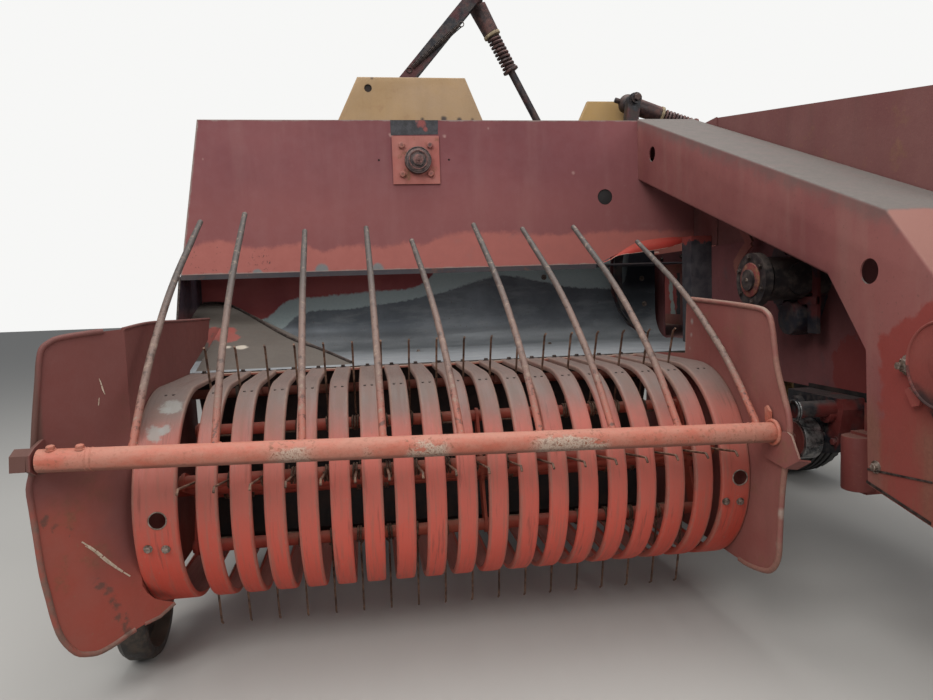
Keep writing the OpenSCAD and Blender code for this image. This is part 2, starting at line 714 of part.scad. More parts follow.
module tension_rails() color([0.42, 0.20, 0.18]) place() {
    difference() {
        rails();
        for (x = SCREW_X) translate([x, 2465, floor_z - 130]) cylinder(r = 11 + seat, h = bale_h + 400);
    }
    // lugs that carry the chute
    for (x = [cx0 + 24, cx1 - 36]) difference() {
        slab_x(x, 12) bar2d([rail_end - 40, floor_z - 29], [rail_end + 24, floor_z - 20], 40);
        pin_x(x - 1, x + 13, rail_end + 24, floor_z - 20, 14 + eps);
    }
}

module rails() {
    w = 60;
    y0 = wall_end + seat;
    for (x = [cx0 - wall_t, cx1 + wall_t - w]) {
        box([x, y0, floor_z - 8], [x + w, rail_end, floor_z - seat]);
        box([x, y0, roof_z + seat], [x + w, rail_end, roof_z + 8]);
    }
    for (x = [cx0 - wall_t, cx1]) {
        box([x, y0, floor_z - 8], [x + wall_t, rail_end, floor_z + w]);
        box([x, y0, roof_z - w], [x + wall_t, rail_end, roof_z + 8]);
    }
    for (x = [c_mid - 110, c_mid + 60]) {
        box([x, y0, floor_z - 24], [x + 50, rail_end, floor_z - seat]);
        box([x, y0, roof_z + seat], [x + 50, rail_end, roof_z + 24]);
    }
    for (y = [wall_end + 40, 2440]) {
        box([cx0 - 60, y, floor_z - 60], [cx1 + 60, y + 50, floor_z - 23]);
        box([cx0 - 60, y, roof_z + 23], [cx1 + 60, y + 50, roof_z + 60]);
    }
    for (x = [cx0 - 60, cx1 + 20])
        box([x, wall_end + 40, floor_z - 61], [x + 40, wall_end + 90, roof_z + 61]);
}

module tension_screws() color([0.48, 0.47, 0.46]) place() {
    for (x = SCREW_X) {
        translate([x, 2465, floor_z - 120]) cylinder(r = 11, h = roof_z - floor_z + 300);
        translate([x, 2465, floor_z - 76 - seat]) cylinder(r = 18, h = 16);
        translate([x, 2465, roof_z + 60 + seat]) cylinder(r = 18, h = 90);
        translate([x, 2465, roof_z + 160]) cylinder(r = 20, h = 16);
        bar([x, 2465, roof_z + 172], [x, 2590, roof_z + 172], 8);
    }
}

// Knotters, needles and twine box

module knotters() color([0.42, 0.40, 0.38]) place() {
    z0 = roof_z + wall_t + seat;
    for (x = [cx0 + 60, cx1 - 60 - 16]) box([x, kn_y0 + 60, z0], [x + 16, kn_y1 - 90, z0 + 190]);
    pin_x(cx0 + 30, cx1 - 30, kn_y0 + 190, z0 + 130, 18);
    for (x = [cx0 + 120, cx1 - 200]) {
        pin_x(x, x + 24, kn_y0 + 190, z0 + 130, 110);
        pin_x(x + 30, x + 80, kn_y0 + 190, z0 + 130, 46);
        box([x - 10, kn_y0 + 250, z0], [x + 60, kn_y0 + 300, z0 + 120]);
    }
    star_arm();
}

module knotter_cover() color([0.55, 0.22, 0.20]) place() {
    z0 = roof_z + wall_t;
    y1 = kn_y1;
    w = bale_w - 20;
    difference() {
        slab_x(cx0 + 10, w) polygon([[kn_y0, z0 + seat], [kn_y0, z0 + 210], [kn_y0 + 70, z0 + 270],
            [y1 - 70, z0 + 270], [y1, z0 + 210], [y1, z0 + seat]]);
        slab_x(cx0 + 14, w - 8) polygon([[kn_y0 + 4, z0 - 1], [kn_y0 + 4, z0 + 208],
            [kn_y0 + 72, z0 + 266], [y1 - 72, z0 + 266], [y1 - 4, z0 + 208], [y1 - 4, z0 - 1]]);
    }
    for (x = [cx0 + 74, cx1 - 114]) difference() {
        union() {
            pin_x(x, x + 40, kn_hinge_y, z0 + 16, 12);
            box([x, kn_hinge_y, z0 + 8], [x + 40, kn_y0 + 2, z0 + 24]);
        }
        pin_x(x - 1, x + 41, kn_hinge_y, z0 + 16, 7 + eps);
    }
}

module needles() color([0.40, 0.36, 0.34]) place() {
    py = 1330;
    pz = floor_z + 60;
    for (x = [cx0 - wall_t - 24, cx1 + wall_t + 12]) slab_x(x, 12) bar2d([py, pz], [kn_y0 + 60, 430], 44);
    for (x = [cx0 - wall_t - 24, cx1 + wall_t]) pin_x(x, x + 24 - seat, py, pz, 20);
    pin_x(cx0 - wall_t - 24, cx1 + wall_t + 24, kn_y0 + 60, 430, 22);
    for (x = [c_mid - 120, c_mid + 104]) slab_x(x, 16) difference() {
        translate([kn_y0 + 10, 560]) circle(150, $fn = 64);
        translate([kn_y0 + 4, 570]) circle(124, $fn = 64);
        polygon([[kn_y0 - 200, 560], [kn_y0 + 5, 560], [kn_y0 + 60, 400], [kn_y0 + 60, 800],
            [kn_y0 - 200, 800]]);
        translate([kn_y0 - 180, 540]) square([400, 300]);
    }
}

module twine_box() color([0.55, 0.22, 0.20]) place() {
    difference() {
        box([tb_x0, tb_y0, tb_z0], [tb_x1, tb_y1, tb_z1]);
        box([tb_x0 + 4, tb_y0 + 4, tb_z0 + 4], [tb_x1 - 4, tb_y1 - 4, tb_z1 + 1]);
    }
    // bracket rails on the chamber's near wall
    for (y = [tb_y0 + 60, tb_y1 - 110])
        box([tb_x0 + 40, y, tb_z0 - 50], [cx0 - wall_t - seat, y + 50, tb_z0 + 1]);
    pin_x(tb_x0 + 60, tb_x0 + 160, tb_y0 - 14, tb_z1 + 6, 6);
    pin_x(tb_x1 - 160, tb_x1 - 60, tb_y0 - 14, tb_z1 + 6, 6);
    for (x = [tb_x0 + 80, tb_x1 - 140]) box([x, tb_y0 - 20, tb_z1 - 60], [x + 60, tb_y0 + 1, tb_z1 + 1]);
}

module twine_lid() color([0.55, 0.22, 0.20]) place() {
    z = tb_z1;
    difference() {
        union() {
            box([tb_x0 - 6, tb_y0, z + 2], [tb_x1 + 6, tb_y1 + 12, z + 6]);
            box([tb_x0 - 6, tb_y1 + 8, z - 24], [tb_x1 + 6, tb_y1 + 12, z + 6]);
            for (x = [tb_x0 + 62, tb_x1 - 158]) {
                pin_x(x, x + 14, tb_y0 - 14, z + 6, 13);
                box([x, tb_y0 - 14, z + 2], [x + 14, tb_y0 + 30, z + 6]);
            }
        }
        pin_x(tb_x0, tb_x1, tb_y0 - 14, z + 6, 6 + eps);
    }
}

module star_wheel() color([0.45, 0.42, 0.40]) place() {
    translate([c_mid - 30, star_y, roof_z + 122]) rotate([0, 90, 0]) difference() {
        union() {
            cylinder(r = 112, h = 8);
            for (i = [0:11]) rotate(i * 30) translate([106, -9, 0]) cube([26, 18, 8]);
            translate([0, 0, -12]) cylinder(r = 26, h = 32);
        }
        translate([0, 0, -20]) cylinder(r = 12 + eps, h = 60);
    }
}

module star_arm() {
    z0 = roof_z + wall_t;
    pin_x(c_mid - 60, c_mid + 2, star_y, roof_z + 122, 12);
    slab_x(c_mid - 68, 12) bar2d([star_y, roof_z + 122], [wall_end - 50, z0 + 74], 36);
    slab_x(c_mid - 68, 12) bar2d([wall_end - 50, z0 + 74], [wall_end - 50, z0 + 20], 36);
    box([c_mid - 90, wall_end - 80, z0 + seat], [c_mid - 40, wall_end - 20, z0 + 14]);
}

// Bale chute

module bale_chute() color([0.50, 0.22, 0.20]) place() {
    y0 = rail_end + 10;
    z0 = floor_z - 20;
    pin_x(cx0 + 20, cx1 - 20, y0 + 14, z0, 14);
    for (x = [cx0 + 60, c_mid - 60, c_mid + 60, cx1 - 60])
        bar([x, y0 + 14, z0], [x, y0 + chute_l - 14, z0 - 60], 12);
    bar([cx0 + 20, y0 + chute_l - 14, z0 - 60], [cx1 - 20, y0 + chute_l - 14, z0 - 60], 14);
}

// Gearbox, plunger and flywheel

module gearbox() color([0.38, 0.20, 0.19]) place() {
    z0 = floor_z - sheet_t + seat;
    difference() {
        union() {
            box([cx0 + 60, -900, z0], [cx1 - 60, -600, 920]);
            pin_y(c_mid, -960, -890, fly_z, 70);
            pin_x(cx0 + 40, cx1 - 40, -740, 860, 80);
        }
        pin_y(c_mid, -1000, -800, fly_z, 25 + eps);
    }
    for (x = [cx0 - wall_t, cx1 + wall_t - 80]) box([x, -880, z0], [x + 80, -640, z0 + 14]);
    side_gearbox();
}

module plunger() color([0.35, 0.33, 0.32]) place() {
    box([cx0 + 14, -420, floor_z + seat], [cx1 - 14, -60, roof_z - 12]);
    slab_x(c_mid - 30, 60) bar2d([-540, 850], [-380, 850], 90);
}

// right-angle box of the pickup's drive, on the chamber's near wall
module side_gearbox() {
    pin_x(850, cx0 - wall_t - seat, 0, 915, 62);
    pin_x(800, 860, 0, 915, 30);
    pin_x(812, 836, 0, 915, 78);
    pin_y(935, -60, 70, 915, 46);
}

module flywheel() color([0.50, 0.20, 0.18]) place() {
    translate([c_mid, fly_y, fly_z]) rotate([-90, 0, 0]) rotate_extrude($fn = 96)
        polygon([[20, 20], [70, 20], [80, 40], [flywheel_r - 60, 44], [flywheel_r - 50, 0],
            [flywheel_r, 0], [flywheel_r, 90], [flywheel_r - 50, 90], [flywheel_r - 60, 60], [80, 64],
            [70, 84], [20, 84]]);
    pin_y(c_mid, fly_y + 20, -820, fly_z, 25);
    pin_y(c_mid, fly_y - 70, fly_y + 21, fly_z, stub_r);
}

// Axle, underframe and wheels

module axle_frame() color([0.45, 0.20, 0.18]) place() {
    top = frame_low - seat;
    low = top - 80;
    box([-700, axle_y - 40, low], [lw_x - 28, axle_y + 40, top]);
    // right end plate and spindle
    box([-700, axle_y - 60, tyre_r_r - 50], [-670, axle_y + 60, top]);
    pin_x(rw_x + tyre_r_w - 110, -690, axle_y, tyre_r_r, spindle_r);
    // left end plate and spindle
    box([lw_x - 50, axle_y - 60, tyre_l_r - 50], [lw_x - 20, axle_y + 60, top]);
    pin_x(lw_x - 30, lw_x + 140, axle_y, tyre_l_r, spindle_r);
    // rails under the channel, from the cross beam back to the axle
    for (x = [-640, 0, 600])
        box([x, 500 + seat, frame_low - 1], [x + 60, axle_y + 60, floor_z - sheet_t - seat]);
}

// tyre profile: half width, rim radius and tyre radius
module tyre2d(w, ri, ro) {
    h = w / 2;
    polygon([[ri, -h * 0.62], [ri + 18, -h * 0.64], [ri + 40, -h * 0.88], [ri + (ro - ri) * 0.5, -h],
        [ro - (ro - ri) * 0.25, -h * 0.96], [ro - 10, -h * 0.78], [ro, -h * 0.45], [ro, h * 0.45],
        [ro - 10, h * 0.78], [ro - (ro - ri) * 0.25, h * 0.96], [ri + (ro - ri) * 0.5, h],
        [ri + 40, h * 0.88], [ri + 18, h * 0.64], [ri, h * 0.62]]);
}

module tyre(w, ri, ro) {
    rotate([0, 90, 0]) rotate_extrude($fn = 96) tyre2d(w, ri, ro);
}

// disc rim: flanges, well, dished disc and hub bore; s turns the dish outwards
module rim(w, ri, s) {
    h = w / 2;
    f = h * 0.64;
    rotate([0, 90, 0]) scale([1, 1, s]) difference() {
        rotate_extrude($fn = 96) polygon([[spindle_r + eps, -30], [spindle_r + 22, -30],
            [spindle_r + 30, 6], [ri * 0.62, 16], [ri - 34, 4], [ri - 26, -f + 8],
            [ri - 5, -f - 2], [ri + 14, -f - 7], [ri + 14, -f - 2], [ri - seat, -f],
            [ri - 12, -h * 0.2], [ri - 12, h * 0.2], [ri - seat, f], [ri + 14, f + 2],
            [ri + 14, f + 7], [ri - 5, f + 2],
            [ri - 20, h * 0.2], [ri - 26, 12], [ri * 0.62, 24], [spindle_r + 28, 15],
            [spindle_r + 18, 44], [spindle_r + eps, 44]]);
        for (i = [0:4]) rotate(i * 72) translate([spindle_r + 58, 0, -10]) cylinder(r = 9, h = 60);
    }
}

module tyre_left() color([0.12, 0.12, 0.12]) place()
    translate([lw_x + tyre_l_w / 2, axle_y, tyre_l_r]) tyre(tyre_l_w, 200, tyre_l_r);

module rim_left() color([0.80, 0.72, 0.45]) place()
    translate([lw_x + tyre_l_w / 2, axle_y, tyre_l_r]) rim(tyre_l_w, 200, 1);

module tyre_right() color([0.12, 0.12, 0.12]) place()
    translate([rw_x + tyre_r_w / 2, axle_y, tyre_r_r]) tyre(tyre_r_w, 180, tyre_r_r);

module rim_right() color([0.80, 0.72, 0.45]) place()
    translate([rw_x + tyre_r_w / 2, axle_y, tyre_r_r]) rim(tyre_r_w, 180, -1);

// Drawbar and jack, built along -Y from the kingpin and then swung

module on_drawbar() {
    translate([c_mid, king_y, 0]) rotate([0, 0, -drawbar_deg]) children();
}

module drawbar() color([0.45, 0.19, 0.17]) place() on_drawbar() {
    difference() {
        union() {
            translate([0, 0, beam_z0 - 20]) cylinder(r = 58, h = beam_z1 - beam_z0 + 40);
            difference() {
                box([-60, -drawbar_l + 130, beam_z0], [60, 0, beam_z1]);
                box([-54, -drawbar_l + 120, beam_z0 + 6], [54, -90, beam_z1 - 6]);
            }
            box([-50, -drawbar_l, 355], [50, -drawbar_l + 200, 385]);
            translate([0, -drawbar_l, 355]) cylinder(r = 50, h = 30);
            box([-54, -drawbar_l + 120, beam_z0 + 1], [54, -drawbar_l + 132, beam_z1 - 1]);
        }
        translate([0, 0, beam_z0 - 30]) cylinder(r = kingpin_r + eps, h = 200);
        translate([0, -drawbar_l, 300]) cylinder(r = hitch_r, h = 150);
    }
    // jack's pivot boss on the near side
    pin_x(-jack_off + 34 + seat, -59, -jack_at, 375, 40);
    pin_x(-jack_off - 44, -60, -jack_at, 375, 15);
}

module jack() color([0.42, 0.20, 0.18]) place() on_drawbar() translate([-jack_off, -jack_at, 0]) {
    difference() {
        union() {
            translate([0, 0, 200]) cylinder(r = 34, h = 460);
            box([-34, -42, 340], [34, 42, 410]);
        }
        pin_x(-60, 60, 0, 375, 15 + eps);
        translate([0, 0, 190]) cylinder(r = 26, h = 130);
        translate([0, 0, 430]) cylinder(r = 26, h = 226);
    }
    translate([0, 0, 6]) cylinder(r = 25, h = 320);
    box([-foot_w, -95, 0], [foot_w, 95, 8]);
    translate([0, 0, 650]) cylinder(r = 12, h = 40);
    bar([0, 0, 682], [-120, 0, 682], 8);
    bar([-112, 0, 682], [-112, 0, 760], 10);
}

stripper_bands();
pickup_frame();
shield_right();
shield_left();
gauge_wheel();
reel_core();
reel_tines();
wind_tube();
wind_rods();
channel_floor();
channel_rear();
channel_roof();
hood();
crank_guards();
feeder_cranks();
feeder_forks();
guide_rods();
guide_springs();
drive_guard();
front_housing();
chamber_floor();
chamber_roof();
wall_near();
feed_post();
wall_far();
tension_rails();
tension_screws();
knotters();
knotter_cover();
needles();
twine_box();
twine_lid();
star_wheel();
bale_chute();
gearbox();
plunger();
flywheel();
axle_frame();
tyre_left();
rim_left();
tyre_right();
rim_right();
drawbar();
jack();
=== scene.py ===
import json
import math

import bmesh
import bpy
from mathutils import Matrix, Vector


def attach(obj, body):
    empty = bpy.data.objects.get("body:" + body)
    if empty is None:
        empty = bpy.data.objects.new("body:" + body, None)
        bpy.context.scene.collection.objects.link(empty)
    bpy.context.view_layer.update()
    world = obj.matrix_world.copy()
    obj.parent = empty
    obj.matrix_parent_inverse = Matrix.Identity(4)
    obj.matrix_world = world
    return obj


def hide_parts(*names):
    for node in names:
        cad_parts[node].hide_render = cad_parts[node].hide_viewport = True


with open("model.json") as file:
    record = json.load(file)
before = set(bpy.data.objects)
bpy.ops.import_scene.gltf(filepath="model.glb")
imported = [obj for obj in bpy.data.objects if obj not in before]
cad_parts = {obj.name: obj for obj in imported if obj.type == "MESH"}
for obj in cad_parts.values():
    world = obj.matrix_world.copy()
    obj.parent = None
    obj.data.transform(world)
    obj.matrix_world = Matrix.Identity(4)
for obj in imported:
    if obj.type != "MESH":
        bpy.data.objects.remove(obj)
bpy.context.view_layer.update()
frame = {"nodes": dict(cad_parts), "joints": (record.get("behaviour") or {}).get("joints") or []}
nodes = frame["nodes"]
joints = {j["name"]: j for j in frame["joints"]}

# Camera. It stands at eye height close in front of the pickup, with a wide lens, turned a
# little to the chamber's side. Places are told from the reel's middle on the ground.
reel_axis = Vector(joints["reel_spin"]["pos_m"])


def at(x, y, z):
    return Vector((reel_axis.x + x, reel_axis.y + y, z))


LENS_PX = 700.0
IMAGE_W = 933.0
yaw, pitch, roll = math.radians(8.11), math.radians(4.43), math.radians(1.91)
forward = Vector((math.sin(yaw) * math.cos(pitch), math.cos(yaw) * math.cos(pitch), -math.sin(pitch)))
level_right = Vector((math.cos(yaw), -math.sin(yaw), 0))
level_up = level_right.cross(forward)
right = level_right * math.cos(roll) - level_up * math.sin(roll)
up = level_right * math.sin(roll) + level_up * math.cos(roll)
camera_data = bpy.data.cameras.new("camera")
camera_data.sensor_width = 36.0
camera_data.lens = LENS_PX * 36.0 / IMAGE_W
camera_data.clip_end = 200
camera = bpy.data.objects.new("camera", camera_data)
turned = Matrix((right, up, -forward)).transposed().to_4x4()
eye_place = at(-0.2243, -1.8963, 0.8969)
camera.matrix_world = Matrix.Translation(eye_place) @ turned
bpy.context.scene.collection.objects.link(camera)
bpy.context.scene.camera = camera

# Studio. A plain pale floor, a pale world and three soft lamps: the light of an overcast day
# from above and in front, with enough of it under the hood to read the feed channel.
scene = bpy.context.scene
scene.view_settings.view_transform = "Standard"
world = bpy.data.worlds.new("studio")
scene.world = world
world.use_nodes = True
tree = world.node_tree
tree.nodes.clear()
sky = tree.nodes.new("ShaderNodeBackground")
sky.inputs["Color"].default_value = (0.86, 0.89, 0.93, 1)
sky.inputs["Strength"].default_value = 0.34
backdrop = tree.nodes.new("ShaderNodeBackground")
backdrop.inputs["Color"].default_value = (0.93, 0.93, 0.92, 1)
backdrop.inputs["Strength"].default_value = 1.0
seen = tree.nodes.new("ShaderNodeLightPath")
pick = tree.nodes.new("ShaderNodeMixShader")
out = tree.nodes.new("ShaderNodeOutputWorld")
tree.links.new(seen.outputs["Is Camera Ray"], pick.inputs["Fac"])
tree.links.new(sky.outputs[0], pick.inputs[1])
tree.links.new(backdrop.outputs[0], pick.inputs[2])
tree.links.new(pick.outputs[0], out.inputs["Surface"])

floor_mesh = bpy.data.meshes.new("floor")
bm = bmesh.new()
bmesh.ops.create_grid(bm, x_segments=1, y_segments=1, size=30)
bm.to_mesh(floor_mesh)
bm.free()
floor = bpy.data.objects.new("floor", floor_mesh)
scene.collection.objects.link(floor)
floor_look = bpy.data.materials.new("pale_floor")
floor_look.use_nodes = True
shader = floor_look.node_tree.nodes["Principled BSDF"]
shader.inputs["Base Color"].default_value = (0.42, 0.41, 0.39, 1)
shader.inputs["Roughness"].default_value = 0.9
floor_mesh.materials.append(floor_look)

for name, place, size, watts in (
    ("key", (-2.6, -3.6, 4.6), 3.4, 215),
    ("fill", (3.2, -3.6, 2.4), 2.8, 60),
    ("top", (0.4, 0.6, 5.2), 4.0, 190),
):
    data = bpy.data.lights.new(name, "AREA")
    data.size = size
    data.energy = watts
    data.color = (1.0, 0.985, 0.96)
    lamp = bpy.data.objects.new(name, data)
    lamp.location = at(*place)
    lamp.rotation_euler = (at(0.2, 0.3, 0.8) - lamp.location).to_track_quat("-Z", "Y").to_euler()
    scene.collection.objects.link(lamp)


# Pickup bands. Each band is a strip of sheet steel pressed into a shallow channel with short
# lips, rolled into a C and bolted to the cross angles. The two end bands are wide, with a hole.
# Red paint: bright orange-red low down, grey-brown with dust on top, rubbed along the edges.
def socket(tree, value, target):
    if isinstance(value, bpy.types.NodeSocket):
        tree.links.new(value, target)
    elif hasattr(value, "__len__") and len(value) == 3 and target.type == "RGBA":
        target.default_value = (*value, 1)
    else:
        target.default_value = value


def step(tree, kind, *values, out=0, **settings):
    made = tree.nodes.new("ShaderNode" + kind)
    for key, value in settings.items():
        if key in made.inputs:
            socket(tree, value, made.inputs[key])
        else:
            setattr(made, key, value)
    for k, value in enumerate(values):
        if value is not None:
            socket(tree, value, made.inputs[k])
    return made.outputs[out]


def noise(tree, where, size, detail=5.0, rough=0.6, stretch=(1, 1, 1)):
    spread = step(tree, "Mapping", where, Scale=stretch)
    return step(tree, "TexNoise", Vector=spread, Scale=size, Detail=detail, Roughness=rough)


def ramp(tree, value, low, high, start=0.0, end=1.0):
    made = tree.nodes.new("ShaderNodeMapRange")
    made.interpolation_type = "SMOOTHSTEP"
    socket(tree, value, made.inputs["Value"])
    for key, number in (("From Min", low), ("From Max", high), ("To Min", start), ("To Max", end)):
        made.inputs[key].default_value = number
    return made.outputs["Result"]


def mix(tree, share, a, b):
    made = tree.nodes.new("ShaderNodeMix")
    made.data_type = "RGBA"
    socket(tree, share, made.inputs[0])
    socket(tree, a, made.inputs[6])
    socket(tree, b, made.inputs[7])
    return made.outputs[2]


def times(tree, a, b):
    return step(tree, "Math", a, b, operation="MULTIPLY")


def plus(tree, a, b):
    return step(tree, "Math", a, b, operation="ADD")


def patch(tree, where, spot, size, ragged, share=0.06):
    """A ragged spot round a point in metres: 1 inside and 0 outside."""
    apart = step(tree, "VectorMath", where, tuple(spot), operation="DISTANCE", out=1)
    uneven = plus(tree, apart, times(tree, plus(tree, ragged, -0.5), share))
    return ramp(tree, uneven, size, size - 0.012)


def rim_share(tree):
    return step(tree, "Attribute", attribute_name="rim", out=2)


def finish_look(material, colour, rough, bump, metal=0.0, depth=0.0015):
    tree = material.node_tree
    shader = tree.nodes["Principled BSDF"]
    socket(tree, colour, shader.inputs["Base Color"])
    socket(tree, rough, shader.inputs["Roughness"])
    socket(tree, metal, shader.inputs["Metallic"])
    made = tree.nodes.new("ShaderNodeBump")
    made.inputs["Strength"].default_value = 0.7
    made.inputs["Distance"].default_value = depth
    socket(tree, bump, made.inputs["Height"])
    tree.links.new(made.outputs["Normal"], shader.inputs["Normal"])


def start_look(name):
    material = bpy.data.materials.new(name)
    material.use_nodes = True
    tree = material.node_tree
    return material, tree, tree.nodes.new("ShaderNodeTexCoord").outputs["Object"]


def placed(tree, where):
    """A point's place across, along and above the ground, from the reel's middle."""
    from_reel = step(tree, "VectorMath", where, tuple(at(0, 0, 0)), operation="SUBTRACT")
    return [step(tree, "SeparateXYZ", from_reel, out=k) for k in range(3)]


def facing(tree, way=2):
    """How far a face looks up, or along another of the three directions."""
    normal = tree.nodes.new("ShaderNodeNewGeometry").outputs["Normal"]
    return step(tree, "SeparateXYZ", normal, out=way)


def daub(tree, where, colour, spots, ragged, share, strength=1.0):
    """Ragged spots over a colour; spots are (place, size, colour)."""
    for place, size, shade in spots:
        cover = times(tree, patch(tree, where, at(*place), size, ragged, share), strength)
        colour = mix(tree, cover, colour, shade)
    return colour


def coat(node_name, material):
    mesh = nodes[node_name].data
    mesh.materials.clear()
    mesh.materials.append(material)


def worn_paint(name, paint, faded, dust=(0.20, 0.155, 0.12), dust_share=0.6, rust_share=0.35,
               haze=0.15, rust=(0.10, 0.035, 0.015), grain=1.0, spots=(), rim=None, cover=None):
    """Old paint: faded in clouds, streaked, rusted in blotches and freckles, dusty on top.
    spots are (place, size, colour) patches, rim is the colour of rubbed edges, and cover lays
    something more over the paint."""
    material, tree, where = start_look(name)
    clouds = noise(tree, where, 2.6 * grain, 7, 0.62)
    streaks = noise(tree, where, 9.0 * grain, 5, 0.55, (1, 1, 0.18))
    blotch = noise(tree, where, 11.0 * grain, 8, 0.68)
    freckle = noise(tree, where, 120.0 * grain, 3, 0.7)
    colour = mix(tree, ramp(tree, clouds, 0.36, 0.66), paint, faded)
    colour = mix(tree, ramp(tree, streaks, 0.42, 0.70, 0.0, 0.35), colour, [c * 0.55 for c in paint])
    rusty = mix(tree, freckle, rust, [min(1, c * 2.6 + 0.02) for c in rust])
    spread = times(tree, ramp(tree, blotch, 0.60 - 0.12 * rust_share, 0.70), rust_share * 2)
    speck = ramp(tree, freckle, 0.66 - 0.06 * rust_share, 0.74)
    marks = step(tree, "Math", spread, times(tree, speck, 0.8), operation="MAXIMUM", use_clamp=True)
    colour = mix(tree, marks, colour, rusty)
    lying = ramp(tree, facing(tree), 0.25, 0.85)
    settled = times(tree, plus(tree, times(tree, lying, dust_share), haze), ramp(tree, clouds, 0.2, 0.6, 0.7, 1.1))
    colour = mix(tree, settled, colour, mix(tree, freckle, dust, [c * 1.35 for c in dust]))
    for spot in spots:
        colour = daub(tree, where, colour, [spot], blotch, spot[1] * 1.6)
    if rim:
        rubbed = times(tree, ramp(tree, rim_share(tree), 0.55, 1.0), ramp(tree, blotch, 0.36, 0.56))
        colour = mix(tree, rubbed, colour, mix(tree, freckle, rim, [c * 0.45 for c in rim]))
    if cover:
        colour = cover(tree, where, colour)
    rough = ramp(tree, blotch, 0.3, 0.7, 0.62, 0.86)
    height = plus(tree, times(tree, blotch, 0.7), times(tree, freckle, 0.25))
    finish_look(material, colour, rough, height, depth=0.002)
    return material


def pose(centre, axis):
    turn = Vector((0, 0, 1)).rotation_difference(Vector(axis))
    return Matrix.Translation(centre) @ turn.to_matrix().to_4x4()


def finished(name, bm, material, body, smooth=35.0, holes=None, stands_for=()):
    """The mesh becomes a shown piece of the machine; holes are cut by the closed shapes in a mesh."""
    bmesh.ops.remove_doubles(bm, verts=bm.verts, dist=0.00002)
    bmesh.ops.recalc_face_normals(bm, faces=bm.faces)
    mesh = bpy.data.meshes.new(name)
    bm.to_mesh(mesh)
    bm.free()
    mesh.materials.append(material)
    piece = bpy.data.objects.new(name, mesh)
    scene.collection.objects.link(piece)
    if holes:
        bmesh.ops.recalc_face_normals(holes, faces=holes.faces)
        cutter = bpy.data.objects.new("cutter", bpy.data.meshes.new("cutter"))
        holes.to_mesh(cutter.data)
        holes.free()
        scene.collection.objects.link(cutter)
        boring = piece.modifiers.new("holes", "BOOLEAN")
        boring.operation = "DIFFERENCE"
        boring.solver = "EXACT"
        boring.use_self = True
        boring.object = cutter
        bpy.context.view_layer.update()
        shown = piece.evaluated_get(bpy.context.evaluated_depsgraph_get())
        bored = bpy.data.meshes.new_from_object(shown)
        piece.modifiers.clear()
        piece.data = bored
        bpy.data.objects.remove(cutter)
    piece.data.shade_smooth()
    piece.data.set_sharp_from_angle(angle=math.radians(smooth))
    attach(piece, body)
    if stands_for:
        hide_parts(*stands_for)
    return piece


def closed_line(bm, points):
    verts = [bm.verts.new(p) for p in points]
    return [bm.edges.new((verts[k - 1], verts[k])) for k in range(len(verts))]


def grow(bm, edges, offset):
    """Edges are drawn out by an offset, and the new ones come back."""
    made = bmesh.ops.extrude_edge_only(bm, edges=edges)["geom"]
    fresh = {g for g in made if isinstance(g, bmesh.types.BMVert)}
    bmesh.ops.translate(bm, verts=list(fresh), vec=offset)
    return [g for g in made if isinstance(g, bmesh.types.BMEdge) and fresh.issuperset(g.verts)]


def sweep(bm, path, radius, sides=8, loop=False):
    """A round bar along points, in metres; radius is one number or one for each point."""
    radii = radius if hasattr(radius, "__len__") else [radius] * len(path)
    last = len(path) - 1
    axes = []
    for k in range(len(path)):
        ahead = path[(k + 1) % len(path)] if loop else path[min(k + 1, last)]
        behind = path[k - 1] if loop or k else path[0]
        axes.append((ahead - behind).normalized())
    turn = Vector((0, 0, 1)).rotation_difference(axes[0])
    ring = bmesh.ops.create_circle(bm, segments=sides, radius=1.0)["verts"]
    first_ring = Matrix.Translation(path[0]) @ turn.to_matrix().to_4x4() @ Matrix.Scale(radii[0], 4)
    bmesh.ops.transform(bm, verts=ring, matrix=first_ring)
    edges = list({e for v in ring for e in v.link_edges})
    first = edges
    for k in range(1, len(path)):
        edges = grow(bm, edges, path[k] - path[k - 1])
        verts = list({v for e in edges for v in e.verts})
        bend = axes[k - 1].rotation_difference(axes[k]).to_matrix().to_4x4()
        bmesh.ops.transform(bm, verts=verts, matrix=bend @ Matrix.Scale(radii[k] / radii[k - 1], 4),
                            space=Matrix.Translation(-path[k]))
    if loop:
        bmesh.ops.bridge_loops(bm, edges=first + edges)
    else:
        bmesh.ops.contextual_create(bm, geom=first)
        bmesh.ops.contextual_create(bm, geom=edges)


def circle(centre, radius, count, plane, turn=0.0):
    """Points round a circle; plane names its two directions, such as "yz"."""
    across, upright = (Vector([axis == way for axis in "xyz"]) for way in plane)
    angles = [math.tau * (k + turn) / count for k in range(count)]
    return [centre + (across * math.cos(a) + upright * math.sin(a)) * radius for a in angles]


def slab(bm, corners, through):
    """A flat plate from its outline, made solid by pushing the face through."""
    edges = closed_line(bm, corners)
    bmesh.ops.contextual_create(bm, geom=edges)
    bmesh.ops.contextual_create(bm, geom=grow(bm, edges, through))


def chamfer(bm, edges, offset, segments=2):
    bmesh.ops.bevel(bm, geom=list(edges), offset=offset, offset_type="OFFSET", segments=segments, profile=0.5,
                    affect="EDGES", material=-1)


def rod(bm, start, end, radius, sides=20, lip=0.0):
    """A turned bar between two points, with a small chamfer when lip is given."""
    made = bmesh.ops.create_cone(bm, segments=sides, radius1=radius, radius2=radius, depth=(end - start).length,
                                 cap_ends=True, matrix=pose((start + end) / 2, end - start))["verts"]
    if lip:
        along = (end - start).normalized()
        rims = {e for v in made for e in v.link_edges if abs((e.verts[0].co - e.verts[1].co).dot(along)) < 1e-5}
        chamfer(bm, rims, lip)


